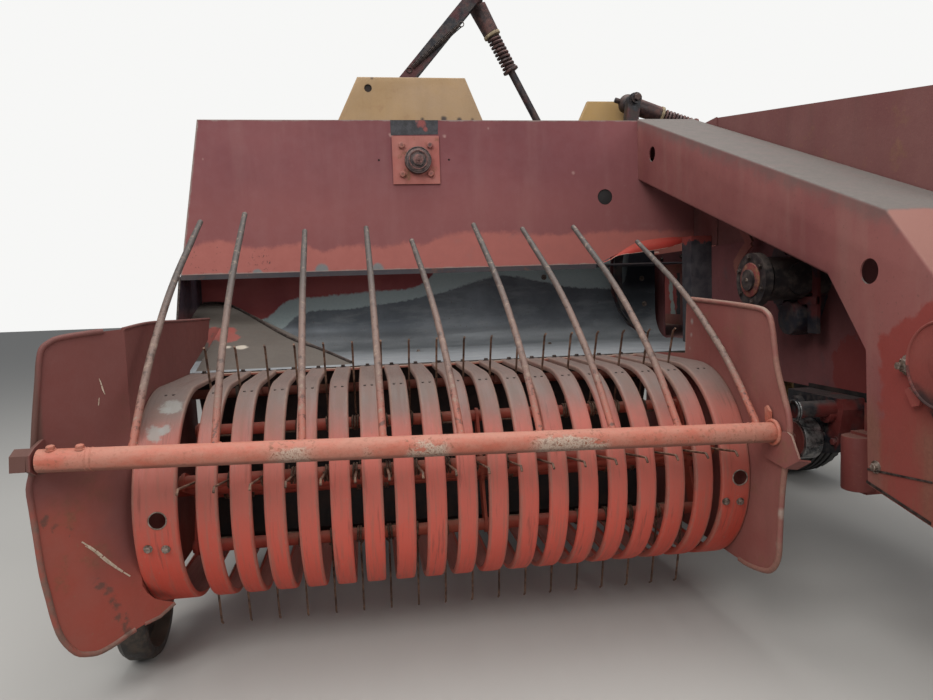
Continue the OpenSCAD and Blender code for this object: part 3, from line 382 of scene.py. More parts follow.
def bolt(bm, centre, axis, size=0.009, washer=1.6):
    """A hexagon head on a washer, standing on a face at centre."""
    axis = Vector(axis).normalized()
    rod(bm, centre - axis * 0.0005, centre + axis * 0.0018, size * washer, 14)
    head = bmesh.ops.create_cone(bm, segments=6, radius1=size, radius2=size, depth=size * 0.9, cap_ends=True,
                                 matrix=pose(centre + axis * (0.0018 + size * 0.45), axis))["verts"]
    outer = [v for v in head if (v.co - centre).dot(axis) > size * 0.6]
    rims = {e for v in outer for e in v.link_edges if e.other_vert(v) in outer}
    chamfer(bm, rims, size * 0.14, 1)


REEL_Z = reel_axis.z
BAND_R = 0.273
BAND_PITCH = 0.075
BAND_ARM = 0.3175
END_HOLES = (-0.707, 0.694)
BAND_MIDDLES = [-0.713] + [k * BAND_PITCH for k in range(-8, 9)] + [0.686]


def on_drum(x, deg, lift=0.0):
    """A point on the bands' skin, deg forward from the top, and the way out of it."""
    out_of = Vector((0, -math.sin(math.radians(deg)), math.cos(math.radians(deg))))
    return at(x, 0, REEL_Z) + out_of * (BAND_R + lift), out_of


def band(bm, x0, x1):
    """One stripper band: its section drawn along the top, round the front and back below."""
    wide, deep, skin = x1 - x0, 0.012, 0.003
    half = [(0, -deep), (0, -0.0048), (0.0014, -0.0014), (0.0048, -0.0003), (0.011, 0)]
    line = half + [(wide - x, z) for x, z in reversed(half)]
    line += [(wide - skin, -deep), (wide - skin, -0.006), (wide - 0.006, -skin), (0.006, -skin), (skin, -0.006),
             (skin, -deep)]
    edges = closed_line(bm, [at(x0 + x, BAND_ARM, REEL_Z + BAND_R + z) for x, z in line])
    rim = bm.verts.layers.float["rim"]
    for edge in edges:
        for v in edge.verts:
            away = min(v.co.x - at(x0, 0, 0).x, at(x1, 0, 0).x - v.co.x)
            v[rim] = 1.0 if away < 0.005 else 0.0
    bmesh.ops.contextual_create(bm, geom=edges)
    edges = grow(bm, edges, (0, -BAND_ARM, 0))
    corners = list({v for e in edges for v in e.verts})
    spun = bmesh.ops.spin(bm, geom=edges + corners, cent=at(0, 0, REEL_Z), axis=(1, 0, 0), angle=math.pi, steps=32)
    edges = [g for g in spun["geom_last"] if isinstance(g, bmesh.types.BMEdge)]
    edges = grow(bm, edges, (0, 0.391, 0))
    bmesh.ops.contextual_create(bm, geom=edges)


def band_paint():
    material, tree, where = start_look("band_paint")
    across, _, height = placed(tree, where)
    patches = noise(tree, where, 7.0, 6, 0.6)
    runs = noise(tree, where, 30.0, 6, 0.65, (2.4, 0.16, 0.16))
    fine = noise(tree, where, 150.0, 4, 0.7, (1.6, 0.5, 0.5))
    ragged = noise(tree, where, 22.0, 7, 0.7)
    shifted = plus(tree, height, times(tree, plus(tree, patches, -0.5), 0.22))
    low, middle, top = (0.56, 0.066, 0.038), (0.395, 0.112, 0.085), (0.155, 0.100, 0.084)
    colour = mix(tree, ramp(tree, shifted, 0.24, 0.52), low, middle)
    colour = mix(tree, ramp(tree, shifted, 0.54, 0.70), colour, top)
    # Painted light: the middle bands are made a brighter orange-red low down, a painted pool of light.
    central = times(tree, ramp(tree, across, -0.62, -0.25), ramp(tree, across, 0.66, 0.40))
    painted_light = times(tree, central, ramp(tree, shifted, 0.62, 0.45, 0.0, 0.30))
    colour = mix(tree, painted_light, colour, (0.80, 0.17, 0.125))
    colour = mix(tree, ramp(tree, runs, 0.50, 0.68, 0.0, 0.42), colour, (0.27, 0.14, 0.105))
    colour = mix(tree, ramp(tree, runs, 0.44, 0.30, 0.0, 0.55), colour, (0.15, 0.045, 0.030))
    colour = mix(tree, ramp(tree, fine, 0.60, 0.72, 0.0, 0.45), colour, (0.32, 0.21, 0.165))
    colour = mix(tree, ramp(tree, facing(tree), 0.5, 0.95, 0.0, 0.65), colour, (0.145, 0.112, 0.098))
    edge = times(tree, ramp(tree, rim_share(tree), 0.62, 1.0), ramp(tree, patches, 0.40, 0.58, 0.10, 0.50))
    colour = mix(tree, edge, colour, mix(tree, fine, (0.13, 0.055, 0.035), (0.34, 0.23, 0.18)))
    spots = []
    for x, z, size in (
        (-0.697, 0.655, 0.030), (-0.715, 0.650, 0.020), (-0.722, 0.603, 0.028), (-0.700, 0.607, 0.022),
    ):
        y = -math.sqrt(BAND_R ** 2 - (z - REEL_Z) ** 2)
        spots.append(((x, y, z), size, (0.27, 0.265, 0.245)))
    colour = daub(tree, where, colour, spots, ragged, 0.07, 0.8)
    rough = ramp(tree, runs, 0.3, 0.7, 0.5, 0.8)
    finish_look(material, colour, rough, plus(tree, times(tree, runs, 0.6), times(tree, fine, 0.4)))
    return material


band_red = band_paint()
bm = bmesh.new()
bm.verts.layers.float.new("rim")
for middle in BAND_MIDDLES[1:-1]:
    band(bm, middle - 0.024, middle + 0.024)
finished("narrow_bands", bm, band_red, "pickup", 50, stands_for=["stripper_bands"])

bm = bmesh.new()
bm.verts.layers.float.new("rim")
band(bm, -0.7617, -0.6645)
band(bm, 0.6475, 0.7237)
holes = bmesh.new()
for x in END_HOLES:
    rod(holes, at(x, -0.30, REEL_Z), at(x, -0.24, REEL_Z), 0.019, 32)
finished("end_bands", bm, band_red, "pickup", 50, holes)


def small_metal(name, dark, pale, rough=0.55, metal=0.5, size=60.0):
    material, tree, where = start_look(name)
    spots = noise(tree, where, size, 5, 0.7)
    colour = mix(tree, ramp(tree, spots, 0.38, 0.66), dark, pale)
    finish_look(material, colour, ramp(tree, spots, 0.3, 0.7, rough - 0.12, rough + 0.12), spots, metal, 0.0008)
    return material


rubbed_steel = small_metal("rubbed_steel", (0.11, 0.075, 0.055), (0.36, 0.30, 0.26))
dark_steel = small_metal("dark_steel", (0.030, 0.022, 0.020), (0.10, 0.075, 0.065))

# Bands' fastenings: a pale rolled rim in the two holes, hexagon bolts on the end bands, and a
# pair of small round rivets on each band where it starts to turn down.
bm = bmesh.new()
for x in END_HOLES:
    rings = circle(at(x, 0, REEL_Z), 0.0195, 32, "xz")
    for p in rings:
        p.y = at(0, -math.sqrt(BAND_R ** 2 - (p.z - REEL_Z) ** 2), 0).y
    sweep(bm, rings, 0.0017, 6, True)
for x, z in ((-0.733, 0.351), (-0.695, 0.347), (0.659, 0.356), (0.698, 0.353)):
    spot, out_of = on_drum(x, 90 + math.degrees(math.asin((REEL_Z - z) / BAND_R)))
    bolt(bm, spot, out_of, 0.0075, 1.35)
finished("band_bolts", bm, rubbed_steel, "pickup", 30)

bm = bmesh.new()
for middle in BAND_MIDDLES:
    for x in (-0.009, 0.009):
        spot, out_of = on_drum(middle + x, 18)
        made = bmesh.ops.create_icosphere(bm, subdivisions=1, radius=0.0042)["verts"]
        bmesh.ops.transform(bm, verts=made, matrix=pose(spot, out_of) @ Matrix.Diagonal((1, 1, 0.35, 1)))
finished("band_rivets", bm, dark_steel, "pickup", 80)

# Pickup frame. Cross angles and a pivot tube in dull dark red paint; the bands' upper ends are
# held on the rear angle by a row of bolts.
frame_paint = worn_paint("frame_paint", (0.27, 0.055, 0.035), (0.33, 0.11, 0.075), rust_share=0.5)
coat("pickup_frame", frame_paint)
bm = bmesh.new()
for middle in BAND_MIDDLES:
    bolt(bm, at(middle, 0.300, REEL_Z + BAND_R), (0, 0, 1), 0.0065, 1.4)
    bolt(bm, at(middle, 0.372, REEL_Z - BAND_R), (0, 0, -1), 0.0065, 1.4)
finished("band_end_bolts", bm, dark_steel, "pickup", 30)

# Reel. Four red tubes on spiders, on a shaft. The tines are double ones of brown spring wire:
# each pair is one wire, coiled twice at either end round the tube, dark and rubbed at the tips.
reel_paint = worn_paint("reel_paint", (0.42, 0.050, 0.030), (0.44, 0.09, 0.05), dust_share=0.25, haze=0.05)
coat("reel_core", reel_paint)


def spring_wire(name, old, rubbed):
    material, tree, where = start_look(name)
    spots = noise(tree, where, 60.0, 6, 0.7)
    long = noise(tree, where, 14.0, 4, 0.6)
    colour = mix(tree, ramp(tree, spots, 0.38, 0.62), old, rubbed)
    colour = mix(tree, ramp(tree, long, 0.45, 0.65, 0.0, 0.6), colour, [c * 0.4 for c in old])
    finish_look(material, colour, ramp(tree, spots, 0.3, 0.7, 0.45, 0.7), spots, 0.35, 0.001)
    return material


def on_reel(radius, deg):
    """A place round the reel's shaft, deg up from the rear."""
    turn_to = math.radians(deg)
    return Vector((0, radius * math.cos(turn_to), radius * math.sin(turn_to)))


BAR_CIRCLE, COIL_R, COIL_PITCH = 0.150, 0.0193, 0.0072
bm = bmesh.new()
for bar_deg, tip_deg in ((70, 93), (160, 166), (250, 268), (340, 352)):
    centre = on_reel(BAR_CIRCLE, bar_deg)
    root, tip = on_reel(0.173, bar_deg), on_reel(0.372, tip_deg)
    knee = on_reel(0.245, bar_deg + (tip_deg - bar_deg) * 0.55)
    finger = [root * (1 - u) ** 2 + knee * 2 * u * (1 - u) + tip * u * u for u in (0.96, 0.8, 0.6, 0.4, 0.2, 0.02)]
    along, lift = (finger[0] - finger[1]).normalized(), on_reel(1, tip_deg - 90)
    hook = [finger[0] + along * 0.010 - lift * 0.011, finger[0] + along * 0.003 - lift * 0.002]
    one = bmesh.new()
    half = []
    for hand, x in ((1, 0.0), (-1, BAND_PITCH)):
        wire = [Vector((x, 0, 0)) + p for p in hook + finger]
        for k in range(30):
            turn_by = math.radians(bar_deg) + k * math.tau / 12
            wound = Vector((0, math.cos(turn_by), math.sin(turn_by))) * COIL_R
            wire.append(centre + wound + Vector((x + hand * (COIL_PITCH * k / 12 - 0.006), 0, 0)))
        half.append(wire if hand > 0 else wire[::-1])
    sweep(one, [at(-0.6375, 0, REEL_Z) + p for p in half[0] + half[1]], 0.003, 6)
    pair = bpy.data.meshes.new("pair")
    one.to_mesh(pair)
    one.free()
    for k in range(9):
        before = len(bm.verts)
        bm.from_mesh(pair)
        bm.verts.ensure_lookup_table()
        bmesh.ops.translate(bm, verts=bm.verts[before:], vec=(2 * BAND_PITCH * k, 0, 0))
    bpy.data.meshes.remove(pair)
tine_wire = spring_wire("tine_wire", (0.085, 0.045, 0.030), (0.26, 0.155, 0.105))
finished("spring_tines", bm, tine_wire, "reel", 60, stands_for=["reel_tines"])

# Sheet behind the reel, bent round it between the two cross angles, so that crop can't fall
# out at the back. Thin steel, near black as painted shade for the dark space behind the reel,
# with old crop dust inside.
bm = bmesh.new()
SHEET_R = 0.396
rolled = [(SHEET_R * math.cos(a), SHEET_R * math.sin(a)) for a in (math.radians(38 - 7.4 * n) for n in range(11))]
outer_line = [(0.296, 0.268)] + rolled + [(0.362, -0.262)]
inner_line = [(y * 0.996, z * 0.996) for y, z in outer_line]
slab(bm, [at(-0.742, y, REEL_Z + z) for y, z in outer_line + inner_line[::-1]], (1.450, 0, 0))
shade_black = small_metal("painted_shade_sheet", (0.012, 0.010, 0.010), (0.040, 0.026, 0.022), 0.85, 0.0, 14)
finished("reel_back", bm, shade_black, "pickup", 30)

# Wind guard. One steel tube in salmon paint that flakes to cream and rust in its middle, with
# nine long curved rods welded on: orange at the root, speckled with rust, dark at the tip.
tube_z = joints["wind_guard_tilt"]["pos_m"][2]


def on_tube(x):
    return at(x, -0.384, 0.5694 - 0.02418 * x)


def smooth_line(points, parts=4):
    """Points on a smooth curve through the given ones."""
    made = []
    for k in range(len(points) - 1):
        a, b, c, d = (points[max(0, min(len(points) - 1, k + n))] for n in (-1, 0, 1, 2))
        for t in (n / parts for n in range(parts)):
            bend = (2 * a - 5 * b + 4 * c - d) * t * t
            twist = (3 * b - a - 3 * c + d) * t ** 3
            made.append(0.5 * (2 * b + (c - a) * t + bend + twist))
    return made + [points[-1]]


def tube_paint():
    material, tree, where = start_look("tube_paint")
    flakes = noise(tree, where, 16.0, 7, 0.7, (0.6, 1, 1))
    specks = noise(tree, where, 110.0, 6, 0.72)
    worn = noise(tree, where, 1.7, 3, 0.5, (1, 0.1, 0.1))
    colour = mix(tree, ramp(tree, flakes, 0.35, 0.65), (0.46, 0.120, 0.075), (0.46, 0.195, 0.140))
    across = placed(tree, where)[0]
    bare_places = ((-0.840, 0.07, 0.55), (-0.60, 0.06, 0.5), (-0.39, 0.10, 0.8), (-0.235, 0.05, 0.6),
                   (-0.10, 0.08, 1.0), (0.215, 0.15, 1.0), (0.60, 0.07, 0.45))
    for x, half, share in bare_places:
        off = step(tree, "Math", plus(tree, across, -x), operation="ABSOLUTE")
        torn = plus(tree, off, times(tree, flakes, 0.09))
        near = ramp(tree, torn, half + 0.055, half * 0.3 + 0.03, 0.0, share)
        worn = step(tree, "Math", times(tree, worn, 0.97), near, operation="MAXIMUM")
    under = plus(tree, flakes, times(tree, facing(tree), -0.20))
    bare = times(tree, ramp(tree, under, 0.44, 0.52), ramp(tree, worn, 0.40, 0.80))
    cream = mix(tree, ramp(tree, specks, 0.38, 0.56), (0.24, 0.16, 0.12), (0.57, 0.48, 0.385))
    colour = mix(tree, times(tree, bare, 0.85), colour, cream)
    rusty = times(tree, ramp(tree, specks, 0.52, 0.62), ramp(tree, worn, 0.36, 0.56, 0.25, 1.0))
    colour = mix(tree, rusty, colour, (0.25, 0.095, 0.055))
    # Paler on top, and the underside darkened as painted shade.
    colour = mix(tree, ramp(tree, facing(tree), 0.55, 0.95, 0.0, 0.25), colour, (0.36, 0.20, 0.15))
    colour = mix(tree, ramp(tree, facing(tree), -0.45, -0.75, 0.0, 0.55), colour, (0.10, 0.055, 0.040))
    finish_look(material, colour, ramp(tree, flakes, 0.3, 0.7, 0.5, 0.75), plus(tree, flakes, specks))
    return material


def rod_paint():
    material, tree, where = start_look("rod_paint")
    height = placed(tree, where)[2]
    specks = noise(tree, where, 55.0, 6, 0.7)
    rise = plus(tree, height, times(tree, plus(tree, specks, -0.5), 0.25))
    colour = mix(tree, ramp(tree, rise, tube_z + 0.02, tube_z + 0.17), (0.36, 0.110, 0.075), (0.185, 0.120, 0.098))
    colour = mix(tree, ramp(tree, rise, tube_z + 0.24, tube_z + 0.42), colour, (0.075, 0.062, 0.056))
    colour = mix(tree, ramp(tree, specks, 0.54, 0.66, 0.0, 0.7), colour, (0.30, 0.22, 0.175))
    colour = mix(tree, ramp(tree, specks, 0.47, 0.38, 0.0, 0.75), colour, (0.050, 0.032, 0.026))
    finish_look(material, colour, ramp(tree, specks, 0.3, 0.7, 0.5, 0.8), specks)
    return material


salmon = tube_paint()
coat("wind_tube", salmon)
rod_line = [Vector((0, y / 1000, z / 1000)) for y, z in (
    (0, 10), (32, 47), (84, 107), (152, 175), (234, 242), (324, 308), (444, 382), (579, 454), (712, 524))]
rods = bmesh.new()
welds = bmesh.new()
# each rod's shift along the tube in mm, and its tilt and lean in degrees
bent = ((0, 2.6, -1.4), (-9, 4.5, 1.4), (-3, 0.7, 2.2), (-5, 1.5, 1), (-6, -1.4, 3.5), (-1, 2.4, 2.4),
        (-5, 1.5, 3.3), (-20, 2, 2.7), (2, -1.6, 0))
for k, (shift, tilt, lean) in enumerate(bent):
    turn = Matrix.Rotation(math.radians(lean), 3, "Z") @ Matrix.Rotation(math.radians(tilt), 3, "X")
    foot = on_tube(0.174 * (k - 4) - 0.019 + shift / 1000)
    line = [foot + turn @ p for p in smooth_line(rod_line)]
    sweep(rods, line, [0.0086 if n < len(line) - 3 else 0.0078 for n in range(len(line))], 12)
    way = (turn @ Vector((0, 0.65, 0.76))).normalized()
    squared = pose(Vector((0, 0, 0)), way).to_3x3()
    collar = []
    for n in range(14):
        a = math.tau * n / 14
        lift = way * (0.0235 + 0.0015 * math.sin(5 * a + k))
        collar.append(foot + lift + squared @ Vector((0.0095 * math.cos(a), 0.0095 * math.sin(a), 0)))
    sweep(welds, collar, [0.0030 + 0.0008 * math.sin(3 * n + k) for n in range(14)], 6, True)
finished("wind_guard_rods", rods, rod_paint(), "wind_guard", 50, stands_for=["wind_rods"])
finished("rod_welds", welds, salmon, "wind_guard", 60)
bm = bmesh.new()
for x in (-0.868, -0.812):
    bolt(bm, on_tube(x) + Vector((0, -0.004, 0.0225)), (0, -0.15, 1), 0.0085, 1.3)
for x in (-0.800, -0.790, 0.655):
    ring = [on_tube(x) + Vector((0.0012 * math.sin(3 * a), 0.0236 * math.cos(a), 0.0236 * math.sin(a)))
            for a in (math.tau * k / 28 for k in range(28))]
    sweep(bm, ring, 0.0016, 6, True)
finished("tube_bolts", bm, salmon, "wind_guard", 40)

# Side shields. Pressed red sheet with a rolled edge. The right one is flat; the left one bends
# out into a wide flared wing. Both carry the reel's bearings and the wind guard's brackets.


def rim_layer(bm):
    """The share of rubbed paint at each point of a mesh."""
    return bm.verts.layers.float.get("rim") or bm.verts.layers.float.new("rim")


def rolled_edge(bm, path, radius, sides, loop=False):
    """A rolled rim along points, marked so that its paint is rubbed."""
    before = len(bm.verts)
    sweep(bm, path, radius, sides, loop)
    bm.verts.ensure_lookup_table()
    rim = rim_layer(bm)
    for v in bm.verts[before:]:
        v[rim] = 1.0


def side(x, points):
    """An outline upright along the machine, from places in mm, at x metres across."""
    return [at(x, y / 1000, z / 1000) for y, z in points]


right_edge = [(50, 865), (-150, 854), (-301, 843), (-340, 832), (-356, 816), (-368, 775), (-381, 711), (-406, 650),
              (-429, 598), (-433, 550), (-417, 485), (-405, 420), (-398, 358), (-394, 300), (-390, 254),
              (-372, 220), (-339, 197), (-262, 182), (-215, 180)]
bm = bmesh.new()
rim_layer(bm)
edge_line = smooth_line(side(0, right_edge), 3)
rear = side(0, [(405, 172), (405, 400), (385, 600), (385, 655), (340, 666), (300, 690), (88, 704), (78, 848)])
slab(bm, [p + Vector((0.724, 0, 0)) for p in edge_line + rear], (0.004, 0, 0))
rolled_edge(bm, [p + Vector((0.726, 0, 0)) for p in edge_line], 0.0070, 12)
corner = side(0, [(50, 865), (77, 850), (84, 780), (88, 704)])
rolled_edge(bm, [p + Vector((0.726, 0, 0)) for p in corner], 0.0035, 8)
rod(bm, at(0.7275, 0, REEL_Z), at(0.750, 0, REEL_Z), 0.045, 32, 0.003)
rod(bm, on_tube(0.671), on_tube(0.726), 0.0119, 20)
slab(bm, side(0.7165, [(-330, 500), (-400, 556), (-436, 562), (-452, 556), (-481, 509), (-428, 479), (-345, 488)]),
     (0.005, 0, 0))
slab(bm, [at(0.7165, -0.481, 0.509), at(0.7165, -0.428, 0.479), at(0.7165, -0.345, 0.488),
          at(0.748, -0.345, 0.484), at(0.748, -0.428, 0.474), at(0.748, -0.478, 0.503)], (0, 0, -0.004))
shield_chips = [
    ((0.726, 0.045, 0.80), 0.012, (0.34, 0.27, 0.25)), ((0.726, 0.05, 0.76), 0.010, (0.33, 0.26, 0.24)),
    ((0.726, 0.06, 0.72), 0.008, (0.30, 0.22, 0.20)), ((0.726, -0.405, 0.36), 0.016, (0.34, 0.26, 0.22)),
    ((0.726, -0.41, 0.42), 0.013, (0.32, 0.25, 0.22)), ((0.726, -0.39, 0.28), 0.014, (0.33, 0.26, 0.22))]
right_red = worn_paint("right_shield_paint", (0.225, 0.044, 0.040), (0.245, 0.072, 0.062), rust_share=0.35,
                       haze=0.14, rim=(0.34, 0.165, 0.125), spots=shield_chips)
finished("right_shield", bm, right_red, "pickup", 40, stands_for=["shield_right"])

bm = bmesh.new()
ring = circle(on_tube(0.7145), 0.0275, 28, "yz")
sweep(bm, ring, 0.0048, 10, True)
rod(bm, on_tube(0.7115), on_tube(0.7165), 0.029, 28, 0.001)
slab(bm, side(0.7135, [(-372, 600), (-358, 612), (-350, 606), (-352, 580), (-362, 560), (-374, 562)]),
     (0.006, 0, 0))
finished("tube_clamp", bm, salmon, "pickup", 40)


FLARE_COS, FLARE_SIN = 0.7934, 0.6088


def wing(s, z, out_of=0.0):
    """A point of the flared wing: s along it from the side plate, out_of it towards the front."""
    along = s / 1000
    x = -0.762 - FLARE_COS * along + FLARE_SIN * out_of
    y = -0.230 - FLARE_SIN * along - FLARE_COS * out_of
    return at(x, y, z / 1000)


wing_edge = [(0, 848), (70, 843), (130, 836), (152, 827), (166, 814), (173, 785), (177, 752), (188, 670),
             (200, 568), (209, 528), (207, 485), (203, 421), (198, 344), (190, 287), (183, 240), (171, 192),
             (146, 151), (121, 138), (98, 134), (66, 141), (33, 153), (0, 162)]
bm = bmesh.new()
rim_layer(bm)
left_side = [(-230, 848), (-36, 855), (253, 851), (650, 846), (600, 776), (529, 750), (335, 697), (318, 676),
             (340, 666), (385, 655), (385, 600), (405, 400), (405, 172), (80, 172), (20, 116), (-30, 116),
             (-74, 125), (-150, 160), (-230, 166)]
slab(bm, side(-0.762, left_side), (-0.004, 0, 0))
outline = smooth_line([wing(s, z) for s, z in wing_edge], 3)
slab(bm, outline, wing(0, 0, -0.004) - wing(0, 0))
rolled_edge(bm, [p + (wing(0, 0, -0.002) - wing(0, 0)) for p in outline[2:-2]], 0.0066, 12)
slab(bm, [wing(0, 162), wing(-35, 167), wing(-70, 185), wing(-72, 189), wing(-49, 200), wing(-26, 214),
          wing(-10, 233), wing(-2, 250), wing(0, 252)], wing(0, 0, -0.004) - wing(0, 0))
rolled_edge(bm, [wing(0, 162, -0.002), wing(-35, 167, -0.002), wing(-72, 187, -0.002)], 0.0050, 8)
top_roll = [at(-0.764, y, z) for y, z in ((-0.232, 0.848), (-0.036, 0.855), (0.253, 0.851), (0.648, 0.846))]
rolled_edge(bm, smooth_line(top_roll, 6), 0.0042, 10)
rod(bm, at(-0.788, 0, REEL_Z), at(-0.763, 0, REEL_Z), 0.045, 32, 0.003)
rod(bm, on_tube(-0.904), on_tube(-0.854), 0.0119, 20)
slab(bm, side(-0.908, [(-408, 607), (-384, 618), (-340, 628), (-318, 612), (-318, 590), (-345, 572), (-384, 562),
                       (-410, 575)]), (0.008, 0, 0))
slab(bm, side(-0.908, [(-408, 607), (-384, 618), (-384, 614), (-404, 604), (-408, 575), (-412, 575)]),
     (-0.030, 0, 0))
slab(bm, side(-0.778, [(-90, 120), (10, 120), (10, 260), (-90, 260)]), (0.015, 0, 0))
rod(bm, at(-0.860, -0.040, 0.140), at(-0.772, -0.040, 0.140), 0.0139, 20, 0.001)


def wing_painted_shade_and_smears(tree, where, colour):
    # Painted shade: the upper part under the wind tube and the inner part by the fold go dark maroon, a painted
    # shadow of the tube and shade in the fold; then dark smears of dirt along the fold line and a darker strip at
    # the outer edge above the bracket.
    across, _, height = placed(tree, where)
    broad = noise(tree, where, 3.0, 6, 0.6)
    cloudy = times(tree, plus(tree, broad, -0.5), 0.16)
    inward = times(tree, ramp(tree, plus(tree, across, cloudy), -0.875, -0.790),
                   ramp(tree, plus(tree, height, cloudy), 0.23, 0.36))
    upward = ramp(tree, plus(tree, height, cloudy), 0.44, 0.55)
    shade = step(tree, "Math", inward, upward, operation="MAXIMUM", use_clamp=True)
    colour = mix(tree, times(tree, shade, 0.80), colour, (0.135, 0.042, 0.038))
    crumbly = noise(tree, where, 38.0, 7, 0.72)
    smears = ((92, 300, 9), (87, 281, 11), (76, 262, 10), (70, 240, 13), (60, 218, 14), (57, 198, 17),
              (45, 176, 15), (36, 160, 14), (190, 455, 12), (165, 440, 12), (140, 425, 9))
    for s, z, size in smears:
        spot = patch(tree, where, wing(s, z), size / 1000, crumbly, 0.075)
        colour = mix(tree, times(tree, spot, 0.75), colour, (0.085, 0.046, 0.034))
    bracket = times(tree, ramp(tree, across, -0.898, -0.906, 0.0, 0.85), ramp(tree, height, 0.552, 0.556))
    return mix(tree, bracket, colour, (0.10, 0.045, 0.034))


left_red = worn_paint("left_shield_paint", (0.300, 0.048, 0.030), (0.265, 0.066, 0.046), rust_share=0.40, haze=0.05,
                      rim=(0.24, 0.13, 0.10), cover=wing_painted_shade_and_smears)
finished("left_shield", bm, left_red, "pickup", 40, stands_for=["shield_left"])

# Scratches on the flared wing: one long diagonal one through to cream primer, with a few short
# light ones above, lying a hair over the sheet.
bm = bmesh.new()
scratches = (((119, 391), (25, 283), 6.0), ((113, 380), (48, 306), 2.6), ((60, 742), (50, 705), 3.0),
             ((62, 700), (66, 682), 2.2))
for (s0, z0), (s1, z1), wide in scratches:
    for k in range(7):
        t0, t1 = k / 7, (k + 1) / 7 - 0.01 * (k % 3)
        thick = wide * (0.35 + 0.65 * math.sin(math.pi * (t0 + t1) / 2)) / 1000
        a = wing(s0 + (s1 - s0) * t0, z0 + (z1 - z0) * t0 + 2.0 * math.sin(7 * t0), 0.0003)
        b = wing(s0 + (s1 - s0) * t1, z0 + (z1 - z0) * t1 + 2.0 * math.sin(7 * t1), 0.0003)
        across = (b - a).cross(wing(0, 0, 1) - wing(0, 0)).normalized() * thick / 2
        slab(bm, [a - across, b - across, b + across, a + across], wing(0, 0, 0.0004) - wing(0, 0))
cream = small_metal("cream_primer", (0.40, 0.30, 0.22), (0.58, 0.48, 0.38), 0.7, 0.0, 90.0)
finished("wing_scratches", bm, cream, "pickup", 30)

# Feed channel. A dusty floor with a sloping sheet over its left corner, whose long edge is rolled;
# and a rolled rear sheet that crop has polished to dark blue-grey steel below a band of pale
# primer, with the old red left above it on the left.
def line_over(tree, across, points):
    """A height for each place across the machine, read from a smooth curve through points."""
    start, end, top = -1.0, 1.2, 2.0
    spread = tree.nodes.new("ShaderNodeMapRange")
    socket(tree, across, spread.inputs["Value"])
    spread.inputs["From Min"].default_value = start
    spread.inputs["From Max"].default_value = end
    made = tree.nodes.new("ShaderNodeFloatCurve")
    tree.links.new(spread.outputs["Result"], made.inputs["Value"])
    line = made.mapping.curves[0]
    for k, (x, z) in enumerate(points):
        spot = (x - start) / (end - start), z / top
        if k in (0, len(points) - 1):
            line.points[0 if k == 0 else -1].location = spot
        else:
            line.points.new(*spot)
    made.mapping.update()
    return times(tree, made.outputs[0], top)


def rubbed_by_crop(tree, where, height):
    """The colour of sheet steel that crop has polished, with its scratches' grain."""
    wave = noise(tree, where, 2.6, 6, 0.6)
    rub = noise(tree, where, 24.0, 6, 0.65, (0.25, 1, 1))
    fine = noise(tree, where, 95.0, 5, 0.7)
    steel = mix(tree, ramp(tree, wave, 0.36, 0.64), (0.115, 0.130, 0.148), (0.215, 0.235, 0.255))
    steel = mix(tree, ramp(tree, rub, 0.45, 0.70, 0.0, 0.6), steel, (0.31, 0.325, 0.335))
    steel = mix(tree, ramp(tree, fine, 0.60, 0.72, 0.0, 0.6), steel, (0.085, 0.075, 0.075))
    low = mix(tree, fine, (0.155, 0.165, 0.175), (0.33, 0.345, 0.355))
    steel = mix(tree, ramp(tree, height, 0.80, 0.70, 0.0, 0.60), steel, low)
    return steel, wave, rub, fine


def bare_floor(tree, where, colour):
    height = placed(tree, where)[2]
    level = times(tree, ramp(tree, height, 0.6865, 0.6875), ramp(tree, height, 0.6925, 0.6905))
    return mix(tree, level, colour, rubbed_by_crop(tree, where, height)[0])


channel_stains = [
    ((-0.770, 0.700, 0.79), 0.085, (0.26, 0.062, 0.050)), ((-0.705, 0.652, 0.777), 0.050, (0.24, 0.065, 0.052)),
    ((-0.646, 0.555, 0.749), 0.026, (0.46, 0.41, 0.34)), ((-0.690, 0.56, 0.750), 0.018, (0.44, 0.39, 0.33))]
channel_paint = worn_paint(
    "channel_paint", (0.068, 0.055, 0.046), (0.090, 0.074, 0.062), dust=(0.090, 0.078, 0.066), dust_share=0.5,
    haze=0.15, rust_share=0.3, spots=channel_stains, cover=bare_floor)
coat("channel_floor", channel_paint)


